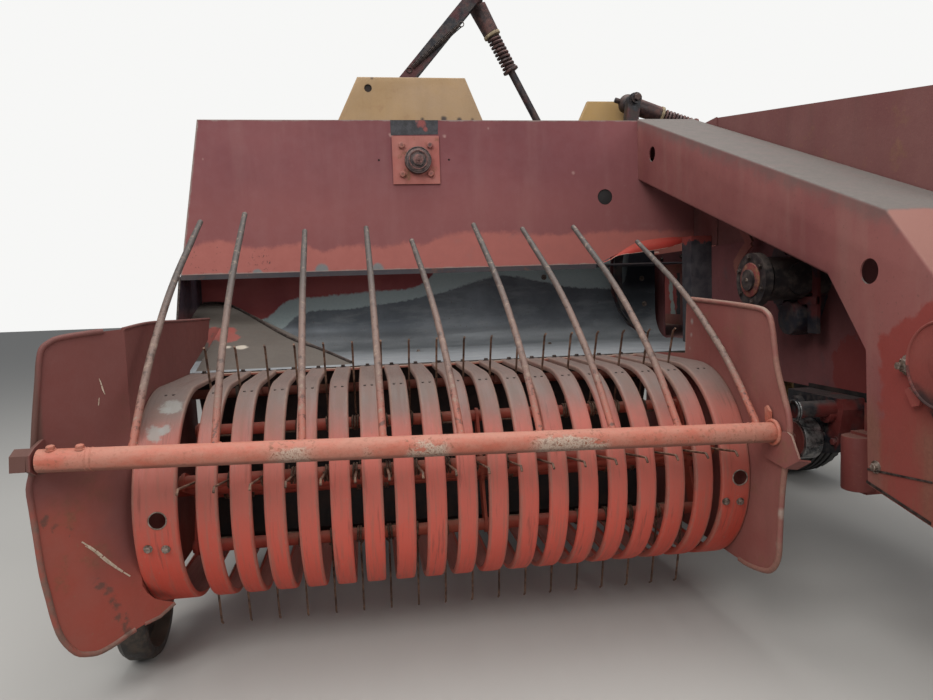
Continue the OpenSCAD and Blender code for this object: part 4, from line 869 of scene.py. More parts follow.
def scoured_steel():
    material, tree, where = start_look("scoured_steel")
    across, _, height = placed(tree, where)
    steel, wave, rub, fine = rubbed_by_crop(tree, where, height)
    torn = times(tree, plus(tree, noise(tree, where, 55.0, 5, 0.7), -0.5), 0.030)
    lower = line_over(tree, across, ((-1, 0.60), (-0.56, 0.79), (-0.50, 0.838), (-0.28, 0.858), (0.08, 0.908),
                                     (0.27, 0.960), (0.36, 0.976), (0.55, 0.944), (0.67, 0.918), (0.80, 0.910),
                                     (0.87, 0.906), (0.915, 0.935), (0.945, 1.10), (1.0, 1.3), (1.2, 1.4)))
    upper = line_over(tree, across, ((-1, 0.70), (-0.62, 0.84), (-0.54, 0.900), (-0.40, 0.915), (-0.20, 0.930),
                                     (0.02, 0.955), (0.12, 1.05), (1.2, 1.3)))
    primer = mix(tree, fine, (0.34, 0.44, 0.45), (0.54, 0.61, 0.60))
    red = mix(tree, ramp(tree, wave, 0.4, 0.6), (0.27, 0.040, 0.045), (0.36, 0.070, 0.066))
    above = plus(tree, plus(tree, height, torn), times(tree, lower, -1))
    beyond = plus(tree, plus(tree, height, torn), times(tree, upper, -1))
    bare = ramp(tree, above, -0.004, 0.006)
    colour = mix(tree, bare, steel, primer)
    colour = mix(tree, ramp(tree, beyond, -0.008, 0.004), colour, red)
    # Painted shadow: the upper right end of the rear sheet goes near-black navy.
    painted_shadow = times(tree, ramp(tree, across, 0.88, 0.94), ramp(tree, height, 0.885, 0.935))
    colour = mix(tree, times(tree, painted_shadow, 0.9), colour, (0.018, 0.020, 0.030))
    rise = plus(tree, height, times(tree, wave, 0.12))
    wall = mix(tree, ramp(tree, rise, 0.86, 0.96), (0.16, 0.045, 0.040), (0.040, 0.030, 0.042))
    colour = mix(tree, ramp(tree, across, -0.876, -0.881), colour, wall)
    colour = mix(tree, times(tree, ramp(tree, fine, 0.62, 0.70), 0.5), colour, (0.13, 0.062, 0.038))
    behind = facing(tree, 1)
    back_red = mix(tree, wave, (0.15, 0.035, 0.034), (0.20, 0.060, 0.055))
    colour = mix(tree, ramp(tree, behind, 0.4, 0.6), colour, back_red)
    metal = times(tree, times(tree, ramp(tree, bare, 1.0, 0.0), ramp(tree, behind, 0.6, 0.4)), 0.45)
    finish_look(material, colour, ramp(tree, rub, 0.3, 0.7, 0.36, 0.62), plus(tree, rub, times(tree, fine, 0.5)),
                metal)
    return material


coat("channel_rear", scoured_steel())
dark_lip_paint = worn_paint("dark_lip_paint", (0.030, 0.028, 0.038), (0.055, 0.040, 0.042), haze=0.05,
                            dust_share=0.2, rust_share=0.2)
coat("channel_roof", dark_lip_paint)

bm = bmesh.new()
roll = [at(-0.275, 0.369, 0.6965), at(-0.378, 0.498, 0.7345), at(-0.502, 0.637, 0.7755), at(-0.757, 1.030, 0.889),
        at(-0.872, 1.074, 0.902)]
sweep(bm, smooth_line(roll, 5), 0.0052, 8)
sweep(bm, [at(-0.886, 0.711, 0.690), at(-0.886, 0.711, 0.838), at(-0.886, 0.784, 0.996)], 0.0045, 8)
finished("channel_rims", bm, dark_steel, "chassis", 40)

bm = bmesh.new()
for x, z in ((0.551, 0.966), (0.997, 0.948), (1.008, 0.835)):
    bolt(bm, at(x, 1.085, z), (0, -1, 0), 0.0080, 1.5)
for x, y in ((-0.027, 0.813), (0.520, 0.898)):
    bolt(bm, at(x, y, 0.688), (0, 0, 1), 0.0060, 1.5)
finished("channel_bolts", bm, rubbed_steel, "chassis", 30)

# Feeder hood. Big flat sheet in chalky faded paint: dusky maroon above, paler salmon below an
# uneven line, with bare grey patches, rust freckles and rubbed edges. Its lower right corner has
# been caught and torn: a bright strip is curled out along the slanting edge.


def hood_paint():
    material, tree, where = start_look("hood_paint")
    across, _, height = placed(tree, where)
    clouds = noise(tree, where, 1.6, 7, 0.6)
    broad = noise(tree, where, 0.9, 3, 0.5)
    small = noise(tree, where, 22.0, 6, 0.65)
    dots = noise(tree, where, 90.0, 4, 0.7)
    runs = noise(tree, where, 8.0, 5, 0.6, (1, 1, 0.12))
    border = line_over(tree, across, (
        (-1, 1.08), (-0.86, 1.09), (-0.80, 1.118), (-0.72, 1.124), (-0.65, 1.101), (-0.50, 1.103), (-0.43, 1.106),
        (-0.376, 1.076), (-0.30, 1.096), (-0.15, 1.090), (-0.05, 1.104), (0.0, 1.097), (0.09, 1.130),
        (0.30, 1.134), (0.55, 1.120), (0.70, 1.128), (1.2, 1.12)))
    over = plus(tree, plus(tree, height, times(tree, border, -1)), times(tree, plus(tree, small, -0.5), 0.05))
    dusky = mix(tree, ramp(tree, clouds, 0.35, 0.65), (0.165, 0.046, 0.052), (0.215, 0.068, 0.072))
    dusky = mix(tree, ramp(tree, runs, 0.45, 0.72, 0.0, 0.35), dusky, (0.26, 0.125, 0.12))
    dusky = mix(tree, ramp(tree, height, 1.42, 1.20, 0.0, 0.45), dusky, (0.275, 0.090, 0.082))
    salmon_red = mix(tree, small, (0.40, 0.120, 0.098), (0.33, 0.105, 0.090))
    colour = mix(tree, ramp(tree, over, 0.012, -0.010), dusky, salmon_red)
    chalk = times(tree, ramp(tree, small, 0.50, 0.78, 0.0, 0.4), ramp(tree, broad, 0.42, 0.62))
    colour = mix(tree, chalk, colour, (0.30, 0.175, 0.165))
    for x, z, r, thin in ((-0.80, 1.05, 0.075, 0.62), (-0.60, 1.035, 0.062, 0.60), (-0.76, 1.03, 0.05, 0.62),
                          (0.06, 1.04, 0.02, 0.62), ):
        near = patch(tree, where, at(x, 0.785, z), r, small, 0.05)
        colour = mix(tree, times(tree, near, ramp(tree, dots, thin, thin + 0.05)), colour, (0.10, 0.045, 0.035))
    grey = mix(tree, dots, (0.14, 0.145, 0.15), (0.22, 0.215, 0.21))
    bare = [((x, 0.785, z), r, grey) for x, z, r in (
        (-0.378, 1.010, 0.030), (-0.170, 1.006, 0.030), (-0.700, 1.004, 0.022), (-0.612, 1.002, 0.024))]
    colour = daub(tree, where, colour, bare, small, 0.016)
    left_gap = plus(tree, plus(tree, across, 0.881), times(tree, plus(tree, height, -1.005), -0.1604))
    low = step(tree, "Math", left_gap, plus(tree, times(tree, height, -1), 1.561), operation="MINIMUM")
    low = step(tree, "Math", low, plus(tree, height, -1.0045), operation="MINIMUM")
    low = plus(tree, low, times(tree, plus(tree, small, -0.5), 0.014))
    worn = times(tree, ramp(tree, low, 0.0065, 0.0015), 0.75)
    colour = mix(tree, worn, colour, mix(tree, dots, (0.20, 0.15, 0.13), (0.36, 0.31, 0.28)))
    chips = [((x, 0.785, z), r, (0.36, 0.21, 0.19)) for x, z, r in (
        (-0.100, 1.505, 0.012), (0.10, 1.50, 0.010), (0.27, 1.53, 0.008), (-0.78, 1.42, 0.006),
        (0.60, 1.36, 0.010))]
    colour = daub(tree, where, colour, chips, dots, 0.012)
    bump = plus(tree, plus(tree, times(tree, clouds, 0.5), times(tree, broad, 6.0)), times(tree, dots, 0.2))
    finish_look(material, colour, ramp(tree, small, 0.3, 0.7, 0.68, 0.85), bump)
    return material


hood_red = hood_paint()
coat("hood", hood_red)

fresh_red = worn_paint("fresh_red", (0.50, 0.030, 0.022), (0.42, 0.045, 0.030), dust_share=0.1, haze=0.02,
                       rust_share=0.15, rim=(0.72, 0.62, 0.52))
bm = bmesh.new()
rim_layer(bm)
top_line = smooth_line([at(x, 0.784, z) for x, z in (
    (0.694, 1.005), (0.741, 1.022), (0.775, 1.042), (0.853, 1.084), (0.950, 1.100), (1.030, 1.1035),
    (1.090, 1.1035))], 5)
low_line = smooth_line([at(*p) for p in (
    (0.694, 0.7815, 1.0045), (0.738, 0.775, 1.019), (0.775, 0.769, 1.037), (0.856, 0.761, 1.046),
    (0.950, 0.763, 1.058), (1.030, 0.772, 1.076), (1.090, 0.783, 1.101))], 5)
rows = 7
made = bmesh.ops.create_grid(bm, x_segments=len(top_line) - 1, y_segments=rows - 1, size=1.0)["verts"]
rim = bm.verts.layers.float["rim"]
made.sort(key=lambda v: (round(v.co.y, 4), round(v.co.x, 4)))
for k, v in enumerate(made):
    row, col = divmod(k, len(top_line))
    t = row / (rows - 1)
    a, b = top_line[col], low_line[col]
    v.co = a.lerp(b, t) + Vector((0, -0.010 * math.sin(math.pi * t) * (b - a).length / 0.045,
                                  0.002 * math.sin(9 * col * 0.35) * t))
    v[rim] = 1.0 if row == rows - 1 else 0.0
bmesh.ops.solidify(bm, geom=bm.faces[:], thickness=0.0018)
finished("torn_lip", bm, fresh_red, "chassis", 60)

# Crank bearing. A thick square plate on the hood with four dark bolts, and a bearing housing
# turned with rings round the shaft's end. Above it a strip of old grey paint shows.


def sheet_marks(name, base, spots):
    """A thin mark of other paint on a sheet, with ragged edges of what lies under it."""
    material, tree, where = start_look(name)
    small = noise(tree, where, 40.0, 6, 0.7)
    dots = noise(tree, where, 160.0, 4, 0.7)
    colour = mix(tree, ramp(tree, small, 0.38, 0.62), base, [c * 1.9 for c in base])
    colour = daub(tree, where, colour, spots, small, 0.05)
    finish_look(material, colour, 0.75, plus(tree, small, dots))
    return material


bm = bmesh.new()
rim_layer(bm)
px, pz = -0.010, 1.4115
slab(bm, [at(px + s * 0.0884, 0.7782, pz + t * 0.0888) for s, t in ((-1, -1), (1, -1), (1, 1), (-1, 1))],
     (0, 0.0066, 0))
corners = [(px + a, pz + b) for a in (-0.053, 0.053) for b in (-0.053, 0.053)]
for x, z in corners:
    bolt(bm, at(x, 0.7782, z), (0, -1, 0), 0.0120, 0.8)
round_bolts = [((x, 0.772, z), 0.0140, (0.040, 0.032, 0.034)) for x, z in corners]
plate_red = worn_paint("plate_red", (0.36, 0.085, 0.072), (0.40, 0.14, 0.115), haze=0.12, rust_share=0.6,
                       dust_share=0.3, grain=2.0, spots=round_bolts)
finished("bearing_plate", bm, plate_red, "chassis", 30)

bm = bmesh.new()
spindle_x, spindle_z = -0.004, 1.408
for r, y0, y1 in ((0.050, 0.7565, 0.7782), (0.0435, 0.753, 0.758), (0.0225, 0.7446, 0.754)):
    rod(bm, at(spindle_x, y1, spindle_z), at(spindle_x, y0, spindle_z), r, 48, 0.002)
for r, y, thick in ((0.047, 0.7565, 0.0022), (0.036, 0.7525, 0.0020), (0.029, 0.7525, 0.0014)):
    sweep(bm, circle(at(spindle_x, y, spindle_z), r, 48, "xz"), thick, 8, True)
hub_look = small_metal("bearing_housing", (0.040, 0.033, 0.035), (0.16, 0.105, 0.095), 0.5, 0.4, 70)
finished("bearing_housing", bm, hub_look, "chassis", 30)
bm = bmesh.new()
rod(bm, at(spindle_x, 0.7520, spindle_z), at(spindle_x, 0.7436, spindle_z), 0.0185, 32, 0.001)
sweep(bm, circle(at(spindle_x, 0.7522, spindle_z), 0.0335, 48, "xz"), 0.0030, 8, True)
bolt(bm, at(spindle_x, 0.7440, spindle_z), (0, -1, 0), 0.0055, 1.2)
hub_paint = small_metal("hub_paint", (0.075, 0.034, 0.030), (0.26, 0.125, 0.110), 0.7, 0.1, 80)
finished("hub_face", bm, hub_paint, "chassis", 30)

bm = bmesh.new()
slab(bm, [at(-0.101, 0.7848, 1.504), at(0.076, 0.7848, 1.507), at(0.078, 0.7848, 1.5598),
          at(-0.101, 0.7848, 1.5598)], (0, -0.0008, 0))
old_grey = sheet_marks("old_grey", (0.028, 0.028, 0.032), [
    ((0.015, 0.784, 1.548), 0.020, (0.24, 0.060, 0.055)), ((0.030, 0.784, 1.525), 0.012, (0.24, 0.060, 0.055)),
    ((0.000, 0.784, 1.557), 0.008, (0.30, 0.11, 0.09))])
finished("old_grey_strip", bm, old_grey, "chassis", 30)

# Crank guards. Two folded tan-yellow guards stand behind the hood's top edge, with a knocked
# hole in the first one, a small notch beside it and chipped paint along the foot.
knocks = [
    ((-0.178, 0.787, 1.676), 0.018, (0.06, 0.035, 0.025)), ((-0.162, 0.787, 1.712), 0.009, (0.05, 0.03, 0.025)),
    ((0.02, 0.787, 1.564), 0.013, (0.04, 0.03, 0.03)), ((0.10, 0.787, 1.563), 0.016, (0.05, 0.035, 0.03)),
    ((0.16, 0.787, 1.562), 0.012, (0.05, 0.035, 0.03)), ((0.21, 0.787, 1.563), 0.010, (0.05, 0.035, 0.03))]
guard_yellow = worn_paint("guard_yellow", (0.365, 0.225, 0.100), (0.335, 0.215, 0.125), dust=(0.27, 0.20, 0.135),
                          haze=0.32, rust_share=0.12, spots=knocks)
deep_yellow = worn_paint("deep_yellow", (0.40, 0.235, 0.060), (0.36, 0.225, 0.085), haze=0.15, rust_share=0.2)
GUARD_TOP = 1.7175
front_face = [(-0.293, 1.560), (0.251, 1.560), (0.187, GUARD_TOP), (-0.216, GUARD_TOP)]
rear_face = [(0.612, 1.395), (1.047, 1.395), (0.925, GUARD_TOP), (0.766, GUARD_TOP)]
for name, front, deep, face, paint, solids in (
    ("crank_guard_sheet", 0.787, 0.060, front_face, guard_yellow, ["crank_guards"]),
    ("rear_guard_sheet", 1.0895, 0.022, rear_face, deep_yellow, []),
):
    bm, holes = bmesh.new(), bmesh.new()
    slab(bm, [at(x, front, z) for x, z in face], (0, deep, 0))
    thin = [(0.0035, -0.005), (-0.0035, -0.005), (-0.002, -0.003), (0.002, -0.003)]
    inside = [at(x + dx, front + 0.003, z + dz) for (x, z), (dx, dz) in zip(face, thin)]
    slab(holes, inside, (0, 0.070, 0))
    bm.edges.ensure_lookup_table()
    front_y, half_up = at(0, front, 0).y, 1.6
    folds = [e for e in bm.edges if all(abs(v.co.y - front_y) < 1e-4 for v in e.verts)
             and max(v.co.z for v in e.verts) > half_up]
    chamfer(bm, folds, 0.005, 3)
    if solids:
        rod(holes, at(-0.178, 0.780, 1.676), at(-0.178, 0.800, 1.676), 0.014, 24)
    finished(name, bm, paint, "chassis", 35, holes, solids)

# Feeder linkage. Welded cranks, box-section forks and sprung guide rods, near black with grease
# and dust. Hexagon nuts hold the pins; a thin return spring and a link run up to the first fork.


def greasy(name, dark, dusty, red=None):
    material, tree, where = start_look(name)
    lumps = noise(tree, where, 35.0, 6, 0.65)
    broad = noise(tree, where, 5.0, 4, 0.6)
    colour = mix(tree, ramp(tree, lumps, 0.42, 0.66), dark, dusty)
    if red:
        colour = mix(tree, ramp(tree, broad, 0.52, 0.60, 0.0, 0.85), colour, red)
    colour = mix(tree, ramp(tree, facing(tree), 0.3, 0.9, 0.0, 0.5), colour, [c * 1.7 for c in dusty])
    finish_look(material, colour, ramp(tree, lumps, 0.3, 0.7, 0.35, 0.7), lumps, 0.25, 0.002)
    return material


def helix(start, along, across, upright, radius, turns, per_turn):
    """Points of a coil spring; along is its whole length, across and upright span its circle."""
    count = turns * per_turn
    angles = [math.tau * n / per_turn for n in range(count + 1)]
    return [start + along * (n / count) + (across * math.cos(a) + upright * math.sin(a)) * radius
            for n, a in enumerate(angles)]


CRANK_R, FORK_L, GUIDE_L = 0.238, 0.519, 0.692
linkage_black = greasy("linkage_black", (0.016, 0.016, 0.021), (0.060, 0.045, 0.040), (0.085, 0.022, 0.022))
coat("feeder_cranks", linkage_black)
coat("feeder_forks", linkage_black)
bm, sleeves, rings = bmesh.new(), bmesh.new(), bmesh.new()
for k in (0, 1):
    centre = Vector((-0.004 + 0.992 * k, 0, 1.408))
    turned_to = math.radians(84 + 180 * k)
    pin = centre + Vector((math.cos(turned_to), 0, math.sin(turned_to))) * CRANK_R
    anchor = centre + Vector((0.597, 0, 0.079))
    apart = anchor - pin
    along = (apart.length_squared + FORK_L ** 2 - GUIDE_L ** 2) / (2 * apart.length)
    way = apart.normalized()
    apex = pin + way * along + Vector((-way.z, 0, way.x)) * math.sqrt(FORK_L ** 2 - along ** 2)
    way = (anchor - apex).normalized()
    bolt(bm, at(pin.x, 0.900, pin.z), (0, -1, 0), 0.020, 1.35)
    bolt(bm, at(pin.x, 0.998, pin.z), (0, 1, 0), 0.020, 1.35)
    bolt(bm, at(centre.x, 0.930, centre.z), (0, 1, 0), 0.022, 1.4)
    eye, foot = at(apex.x, 1.030, apex.z), at(anchor.x, 1.030, anchor.z)
    across = way.cross(Vector((0, 1, 0)))
    rod(bm, eye, foot, 0.0150, 20)
    bmesh.ops.create_cone(sleeves, segments=28, radius1=0.037, radius2=0.033, depth=0.116, cap_ends=True,
                          matrix=pose(eye + way * 0.088, way))
    rod(rings, eye + way * 0.148, eye + way * 0.160, 0.0355, 28, 0.0015)
    rod(sleeves, eye + way * 0.308, eye + way * 0.318, 0.033, 28, 0.0015)
    for end in (foot, eye):
        rod(bm, end - Vector((0, 0.016, 0)), end + Vector((0, 0.016, 0)), 0.035, 32, 0.003)
    rod(bm, at(apex.x, 0.930, apex.z), at(apex.x, 1.052, apex.z), 0.0157, 24)
    rod(bm, at(anchor.x, 0.992, anchor.z), at(anchor.x, 1.115, anchor.z), 0.016, 24)
    for y, side_of in ((0.930, -1), (1.052, 1)):
        bolt(bm, at(apex.x, y, apex.z), (0, side_of, 0), 0.015, 1.5)
    bolt(bm, at(anchor.x, 0.992, anchor.z), (0, -1, 0), 0.015, 1.6)
    ball = bmesh.ops.create_icosphere(bm, subdivisions=3, radius=0.040)["verts"]
    bmesh.ops.transform(bm, verts=ball, matrix=pose(eye - way * 0.004, way) @ Matrix.Diagonal((1, 1, 0.9, 1)))
    rod(bm, eye - way * 0.060, eye - way * 0.030, 0.011, 16, 0.002)
    coil = helix(eye + way * 0.162, way * 0.143, across, Vector((0, 1, 0)), 0.0240, 9, 12)
    sweep(sleeves, coil, 0.0062, 6)
slab(bm, [at(x, 1.0895, z) for x, z in ((0.503, 1.18), (0.683, 1.18), (0.629, 1.523), (0.557, 1.523))],
     (0, 0.014, 0))
slab(bm, [at(x, 1.097, z) for x, z in ((1.383, 1.0545), (1.583, 1.0545), (1.615, 1.523), (1.545, 1.523))],
     (0, 0.016, 0))
slab(bm, [at(1.383, 1.025, 1.0545), at(1.583, 1.025, 1.0545), at(1.583, 1.185, 1.0545), at(1.383, 1.185, 1.0545)],
     (0, 0, 0.010))
linkage_brown = greasy("linkage_brown", (0.022, 0.018, 0.021), (0.075, 0.045, 0.038), (0.095, 0.034, 0.030))
finished("sprung_guides", bm, linkage_brown, "chassis", 40,
         stands_for=["guide_rods", "guide_springs"])
coil_brown = greasy("coil_brown", (0.040, 0.024, 0.024), (0.120, 0.058, 0.050), (0.15, 0.040, 0.036))
finished("guide_coils", sleeves, coil_brown, "chassis", 40)
pale_ring = small_metal("pale_ring", (0.20, 0.15, 0.09), (0.42, 0.34, 0.22), 0.7, 0.1, 60)
finished("guide_rings", rings, pale_ring, "chassis", 40)

bm = bmesh.new()
top, foot = at(0.205, 0.945, 1.974), at(-0.012, 0.945, 1.792)
way = (foot - top).normalized()
side_a = way.cross(Vector((0, 1, 0))).normalized()
coil = helix(top + way * 0.010, way * 0.255, side_a, Vector((0, 1, 0)), 0.0088, 42, 8)
sweep(bm, coil, 0.0019, 5)
for end, aim in ((top, -1), (foot, 1)):
    arc = [math.pi * n / 5 for n in range(11)]
    eyelet = [end + way * (aim * (0.010 * (1 - math.cos(a)) - 0.012)) + side_a * 0.010 * math.sin(a) for a in arc]
    sweep(bm, eyelet, 0.0022, 6)
finished("return_spring", bm, dark_steel, "chassis", 50)
# Near-black discs behind the holes in the hood and the crank guard: painted shade for the dark inside the holes.
bm = bmesh.new()
for x, y, z, r in (
    (-0.178, 0.7925, 1.676, 0.020), (-0.149, 0.7885, 1.413, 0.008), (0.115, 0.7885, 1.413, 0.008),
    (0.728, 0.7887, 1.261, 0.036),
):
    rod(bm, at(x, y, z), at(x, y + 0.010, z), r, 20, 0.001)
finished("hole_backs", bm, shade_black, "chassis", 30)

# Drive guard. A long folded sheet box in the hood's maroon: grey with dust on its slope, a brighter
# red patch round the cap of the overrun clutch at its front, and two round holes in its side.


def guard_paint():
    material, tree, where = start_look("guard_maroon")
    _, depth, height = placed(tree, where)
    clouds = noise(tree, where, 2.2, 7, 0.62)
    small = noise(tree, where, 20.0, 7, 0.66)
    dots = noise(tree, where, 110.0, 4, 0.7)
    runs = noise(tree, where, 10.0, 5, 0.6, (1, 1, 0.14))
    colour = mix(tree, ramp(tree, clouds, 0.35, 0.65), (0.185, 0.052, 0.050), (0.235, 0.078, 0.070))
    colour = mix(tree, ramp(tree, runs, 0.46, 0.70, 0.0, 0.4), colour, (0.26, 0.125, 0.105))
    forward_y = plus(tree, depth, times(tree, plus(tree, small, -0.5), 0.08))
    slope = plus(tree, plus(tree, height, times(tree, small, 0.03)), times(tree, forward_y, 0.55))
    redder = times(tree, ramp(tree, forward_y, -0.535, -0.550), ramp(tree, slope, 0.5058, 0.4918))
    colour = mix(tree, redder, colour, (0.225, 0.038, 0.030))
    low = ramp(tree, plus(tree, height, times(tree, small, 0.06)), 0.70, 0.60)
    rusty = mix(tree, dots, (0.115, 0.040, 0.026), (0.24, 0.10, 0.065))
    colour = mix(tree, times(tree, low, ramp(tree, runs, 0.40, 0.62, 0.15, 0.85)), colour, rusty)
    colour = mix(tree, times(tree, ramp(tree, dots, 0.62, 0.70), 0.5), colour, (0.10, 0.045, 0.035))
    top_line = plus(tree, times(tree, depth, 0.386), 1.263)
    under = plus(tree, plus(tree, top_line, times(tree, height, -1)), times(tree, plus(tree, small, -0.5), 0.09))
    grime = times(tree, ramp(tree, under, 0.055, 0.0), ramp(tree, clouds, 0.35, 0.55, 0.35, 0.9))
    colour = mix(tree, times(tree, grime, 0.75), colour, (0.105, 0.080, 0.072))
    front_slope = ramp(tree, plus(tree, depth, times(tree, plus(tree, small, -0.5), 0.01)), -0.548, -0.558)
    lying = ramp(tree, facing(tree), 0.25, 0.70)
    slope_red = mix(tree, small, (0.235, 0.085, 0.065), (0.285, 0.130, 0.104))
    colour = mix(tree, times(tree, lying, front_slope), colour, slope_red)
    dusty = times(tree, times(tree, lying, ramp(tree, small, 0.25, 0.6, 0.75, 1.0)),
                  plus(tree, 1.0, times(tree, front_slope, -0.9)))
    colour = mix(tree, dusty, colour, mix(tree, dots, (0.105, 0.090, 0.083), (0.165, 0.145, 0.132)))
    edge = times(tree, ramp(tree, rim_share(tree), 0.5, 1.0), ramp(tree, small, 0.40, 0.56))
    colour = mix(tree, edge, colour, (0.30, 0.21, 0.18))
    grease = [((0.865, y, z), r, (0.022, 0.020, 0.020)) for y, z, r in (
        (-0.700, 0.640, 0.022), (-0.735, 0.615, 0.030), (-0.770, 0.600, 0.026))]
    colour = daub(tree, where, colour, grease, small, 0.10, 0.9)
    finish_look(material, colour, ramp(tree, small, 0.3, 0.7, 0.66, 0.85),
                plus(tree, clouds, times(tree, dots, 0.25)))
    return material


guard_maroon = guard_paint()
outer = [(784.7, 1330), (784.7, 1566), (-552, 1050), (-684, 905), (-960, 640), (-960, 400), (-690, 410),
         (-509, 448), (-498, 748), (-362, 919)]
inner = [(790, 1300), (790, 1561.7), (-549.8, 1046.4), (-681, 902), (-956, 638.4), (-956, 390), (-690, 395),
         (-503, 436), (-494, 749), (-357, 919)]
bm = bmesh.new()
slab(bm, side(0.865, outer), (0.2316, 0, 0))
near_x = at(0.865, 0, 0).x
# the folds along the top are the edges that rise to the rear, above a slanting line
folds = []
for e in bm.edges:
    a, b = e.verts[0].co, e.verts[1].co
    on_side = abs(a.x - near_x) < 1e-4 and abs(b.x - near_x) < 1e-4 and min(a.z, b.z) > 0.39
    rising = (a.y - b.y) * (a.z - b.z) > 0
    high = (a.z + b.z) / 2 > 0.62 + 0.45 * ((a.y + b.y) / 2 - at(0, -0.82, 0).y)
    if on_side and rising and high:
        folds.append(e)
chamfer(bm, folds, 0.007, 3)
holes = bmesh.new()
slab(holes, side(0.869, inner), (0.2236, 0, 0))
for y, z in ((0.647, 1.403), (-0.505, 0.921)):
    rod(holes, at(0.855, y, z), at(0.880, y, z), 0.028, 36)
finished("drive_guard_sheet", bm, guard_maroon, "chassis", 35, holes, stands_for=["drive_guard"])

CAP_Y, CAP_Z = -0.730, 0.736
bm = bmesh.new()
rim_layer(bm)
rod(bm, at(0.866, CAP_Y, CAP_Z), at(0.8405, CAP_Y, CAP_Z), 0.0865, 64, 0.004)
rolled_edge(bm, circle(at(0.8405, CAP_Y, CAP_Z), 0.0838, 64, "yz"), 0.0032, 8, True)
rod(bm, at(0.842, CAP_Y, CAP_Z), at(0.8385, CAP_Y, CAP_Z), 0.030, 32, 0.0015)
slab(bm, side(0.852, [(-636, 683), (-626, 676), (-646, 645), (-664, 650), (-668, 660)]), (0.006, 0, 0))
cap_red = worn_paint("cap_red", (0.245, 0.040, 0.032), (0.225, 0.052, 0.042), dust_share=0.3, haze=0.05,
                     rust_share=0.3, rim=(0.060, 0.026, 0.024))
finished("clutch_cap", bm, cap_red, "chassis", 30)

bm = bmesh.new()
bolt(bm, at(0.865, -0.622, 0.726), (-1, 0, 0), 0.0155, 1.45)
rod(bm, at(0.8645, -0.622, 0.726), at(0.838, -0.622, 0.726), 0.0075, 16)
bolt(bm, at(0.865, -0.533, 0.494), (-1, 0, 0), 0.009, 1.6)
bolt(bm, at(0.865, -0.880, 0.610), (-1, 0, 0), 0.009, 1.6)
finished("guard_bolts", bm, rubbed_steel, "chassis", 30)
bm = bmesh.new()
slab(bm, side(0.8647, [(-508, 481), (-688, 498), (-688, 502), (-508, 486)]), (-0.0015, 0, 0))
slab(bm, side(0.8647, [(-505, 452), (-686, 414), (-686, 420), (-506, 458)]), (-0.0015, 0, 0))
finished("guard_seam", bm, dark_steel, "chassis", 30)

# Side of the chamber by the feed opening, in old red paint run down with grease. A slotted dark
# plate, a round cast housing with red left in its middle, and a bent trip lever stand on it.
chamber_paint = worn_paint("chamber_paint", (0.30, 0.045, 0.036), (0.27, 0.080, 0.065), rust_share=0.4, haze=0.2)
maroon_wall = worn_paint("wall_paint", (0.125, 0.026, 0.030), (0.19, 0.046, 0.050), dust=(0.22, 0.13, 0.12),
                         dust_share=0.5, haze=0.18, rust_share=0.3, rust=(0.035, 0.025, 0.030),
                         spots=[((1.097, -0.20, 0.62), 0.14, (0.21, 0.040, 0.036))])
coat("wall_near", maroon_wall)


def post_paint():
    material, tree, where = start_look("post_paint")
    height = placed(tree, where)[2]
    small = noise(tree, where, 26.0, 6, 0.68)
    colour = mix(tree, ramp(tree, small, 0.35, 0.65), (0.036, 0.034, 0.042), (0.072, 0.066, 0.072))
    torn = plus(tree, height, times(tree, plus(tree, small, -0.5), 0.09))
    colour = mix(tree, ramp(tree, torn, 1.070, 1.078), colour, (0.30, 0.060, 0.050))
    chips = [((x, 0.711, z), r, (0.34, 0.18, 0.14)) for x, z, r in (
        (1.085, 0.965, 0.016), (1.095, 0.915, 0.012), (1.060, 0.86, 0.010))]
    colour = daub(tree, where, colour, chips, small, 0.03)
    finish_look(material, colour, ramp(tree, small, 0.3, 0.7, 0.5, 0.75), small, 0.2)
    return material


coat("feed_post", post_paint())
bm = bmesh.new()
lever = [at(1.050, y, z) for y, z in ((0.345, 1.100), (0.296, 1.040), (0.345, 1.010), (0.386, 0.975),
                                      (0.336, 0.890), (0.241, 0.830))]
for k, (a, b) in enumerate(zip(lever, lever[1:])):
    a, b = a + Vector((0.0011 * k, 0, 0)), b + Vector((0.0011 * k, 0, 0))
    run = (b - a).normalized()
    wide = Vector((0, -run.z, run.y)) * 0.017
    slab(bm, [a - run * 0.006 + wide, b + run * 0.006 + wide, b + run * 0.006 - wide, a - run * 0.006 - wide],
         (0.008, 0, 0))
rod(bm, at(1.040, 0.345, 0.925), at(1.0968, 0.345, 0.925), 0.013, 20)
lever_paint = worn_paint("lever_paint", (0.22, 0.055, 0.045), (0.27, 0.10, 0.075), rust_share=0.8, haze=0.1)
finished("trip_lever", bm, lever_paint, "chassis", 30)
bm = bmesh.new()
slab(bm, side(1.035, [(-84, 945), (-40, 945), (-40, 872), (-62, 872), (-62, 848), (-40, 848), (-40, 757),
                      (-84, 757)]), (0.010, 0, 0))
slab(bm, side(1.030, [(-84, 862), (0, 862), (0, 840), (-84, 840)]), (0.012, 0, 0))
slab(bm, side(1.050, [(157, 985), (60, 1000), (-30, 960), (-43, 860), (5, 760), (60, 745), (110, 800), (157, 860)]),
     (0.0465, 0, 0))
cast_y, cast_z = 0.068, 0.925
lobes = [(0.086 if n % 4 else 0.070, math.tau * n / 24) for n in range(24)]
slab(bm, [at(1.012, cast_y + r * math.cos(a), cast_z + r * math.sin(a)) for r, a in lobes], (0.020, 0, 0))
rod(bm, at(0.985, cast_y, cast_z), at(1.050, cast_y, cast_z), 0.058, 40, 0.006)
rod(bm, at(0.960, cast_y, cast_z), at(0.990, cast_y, cast_z), 0.020, 24, 0.003)
rod(bm, at(1.010, 0.020, 0.800), at(1.052, 0.020, 0.800), 0.050, 36, 0.005)
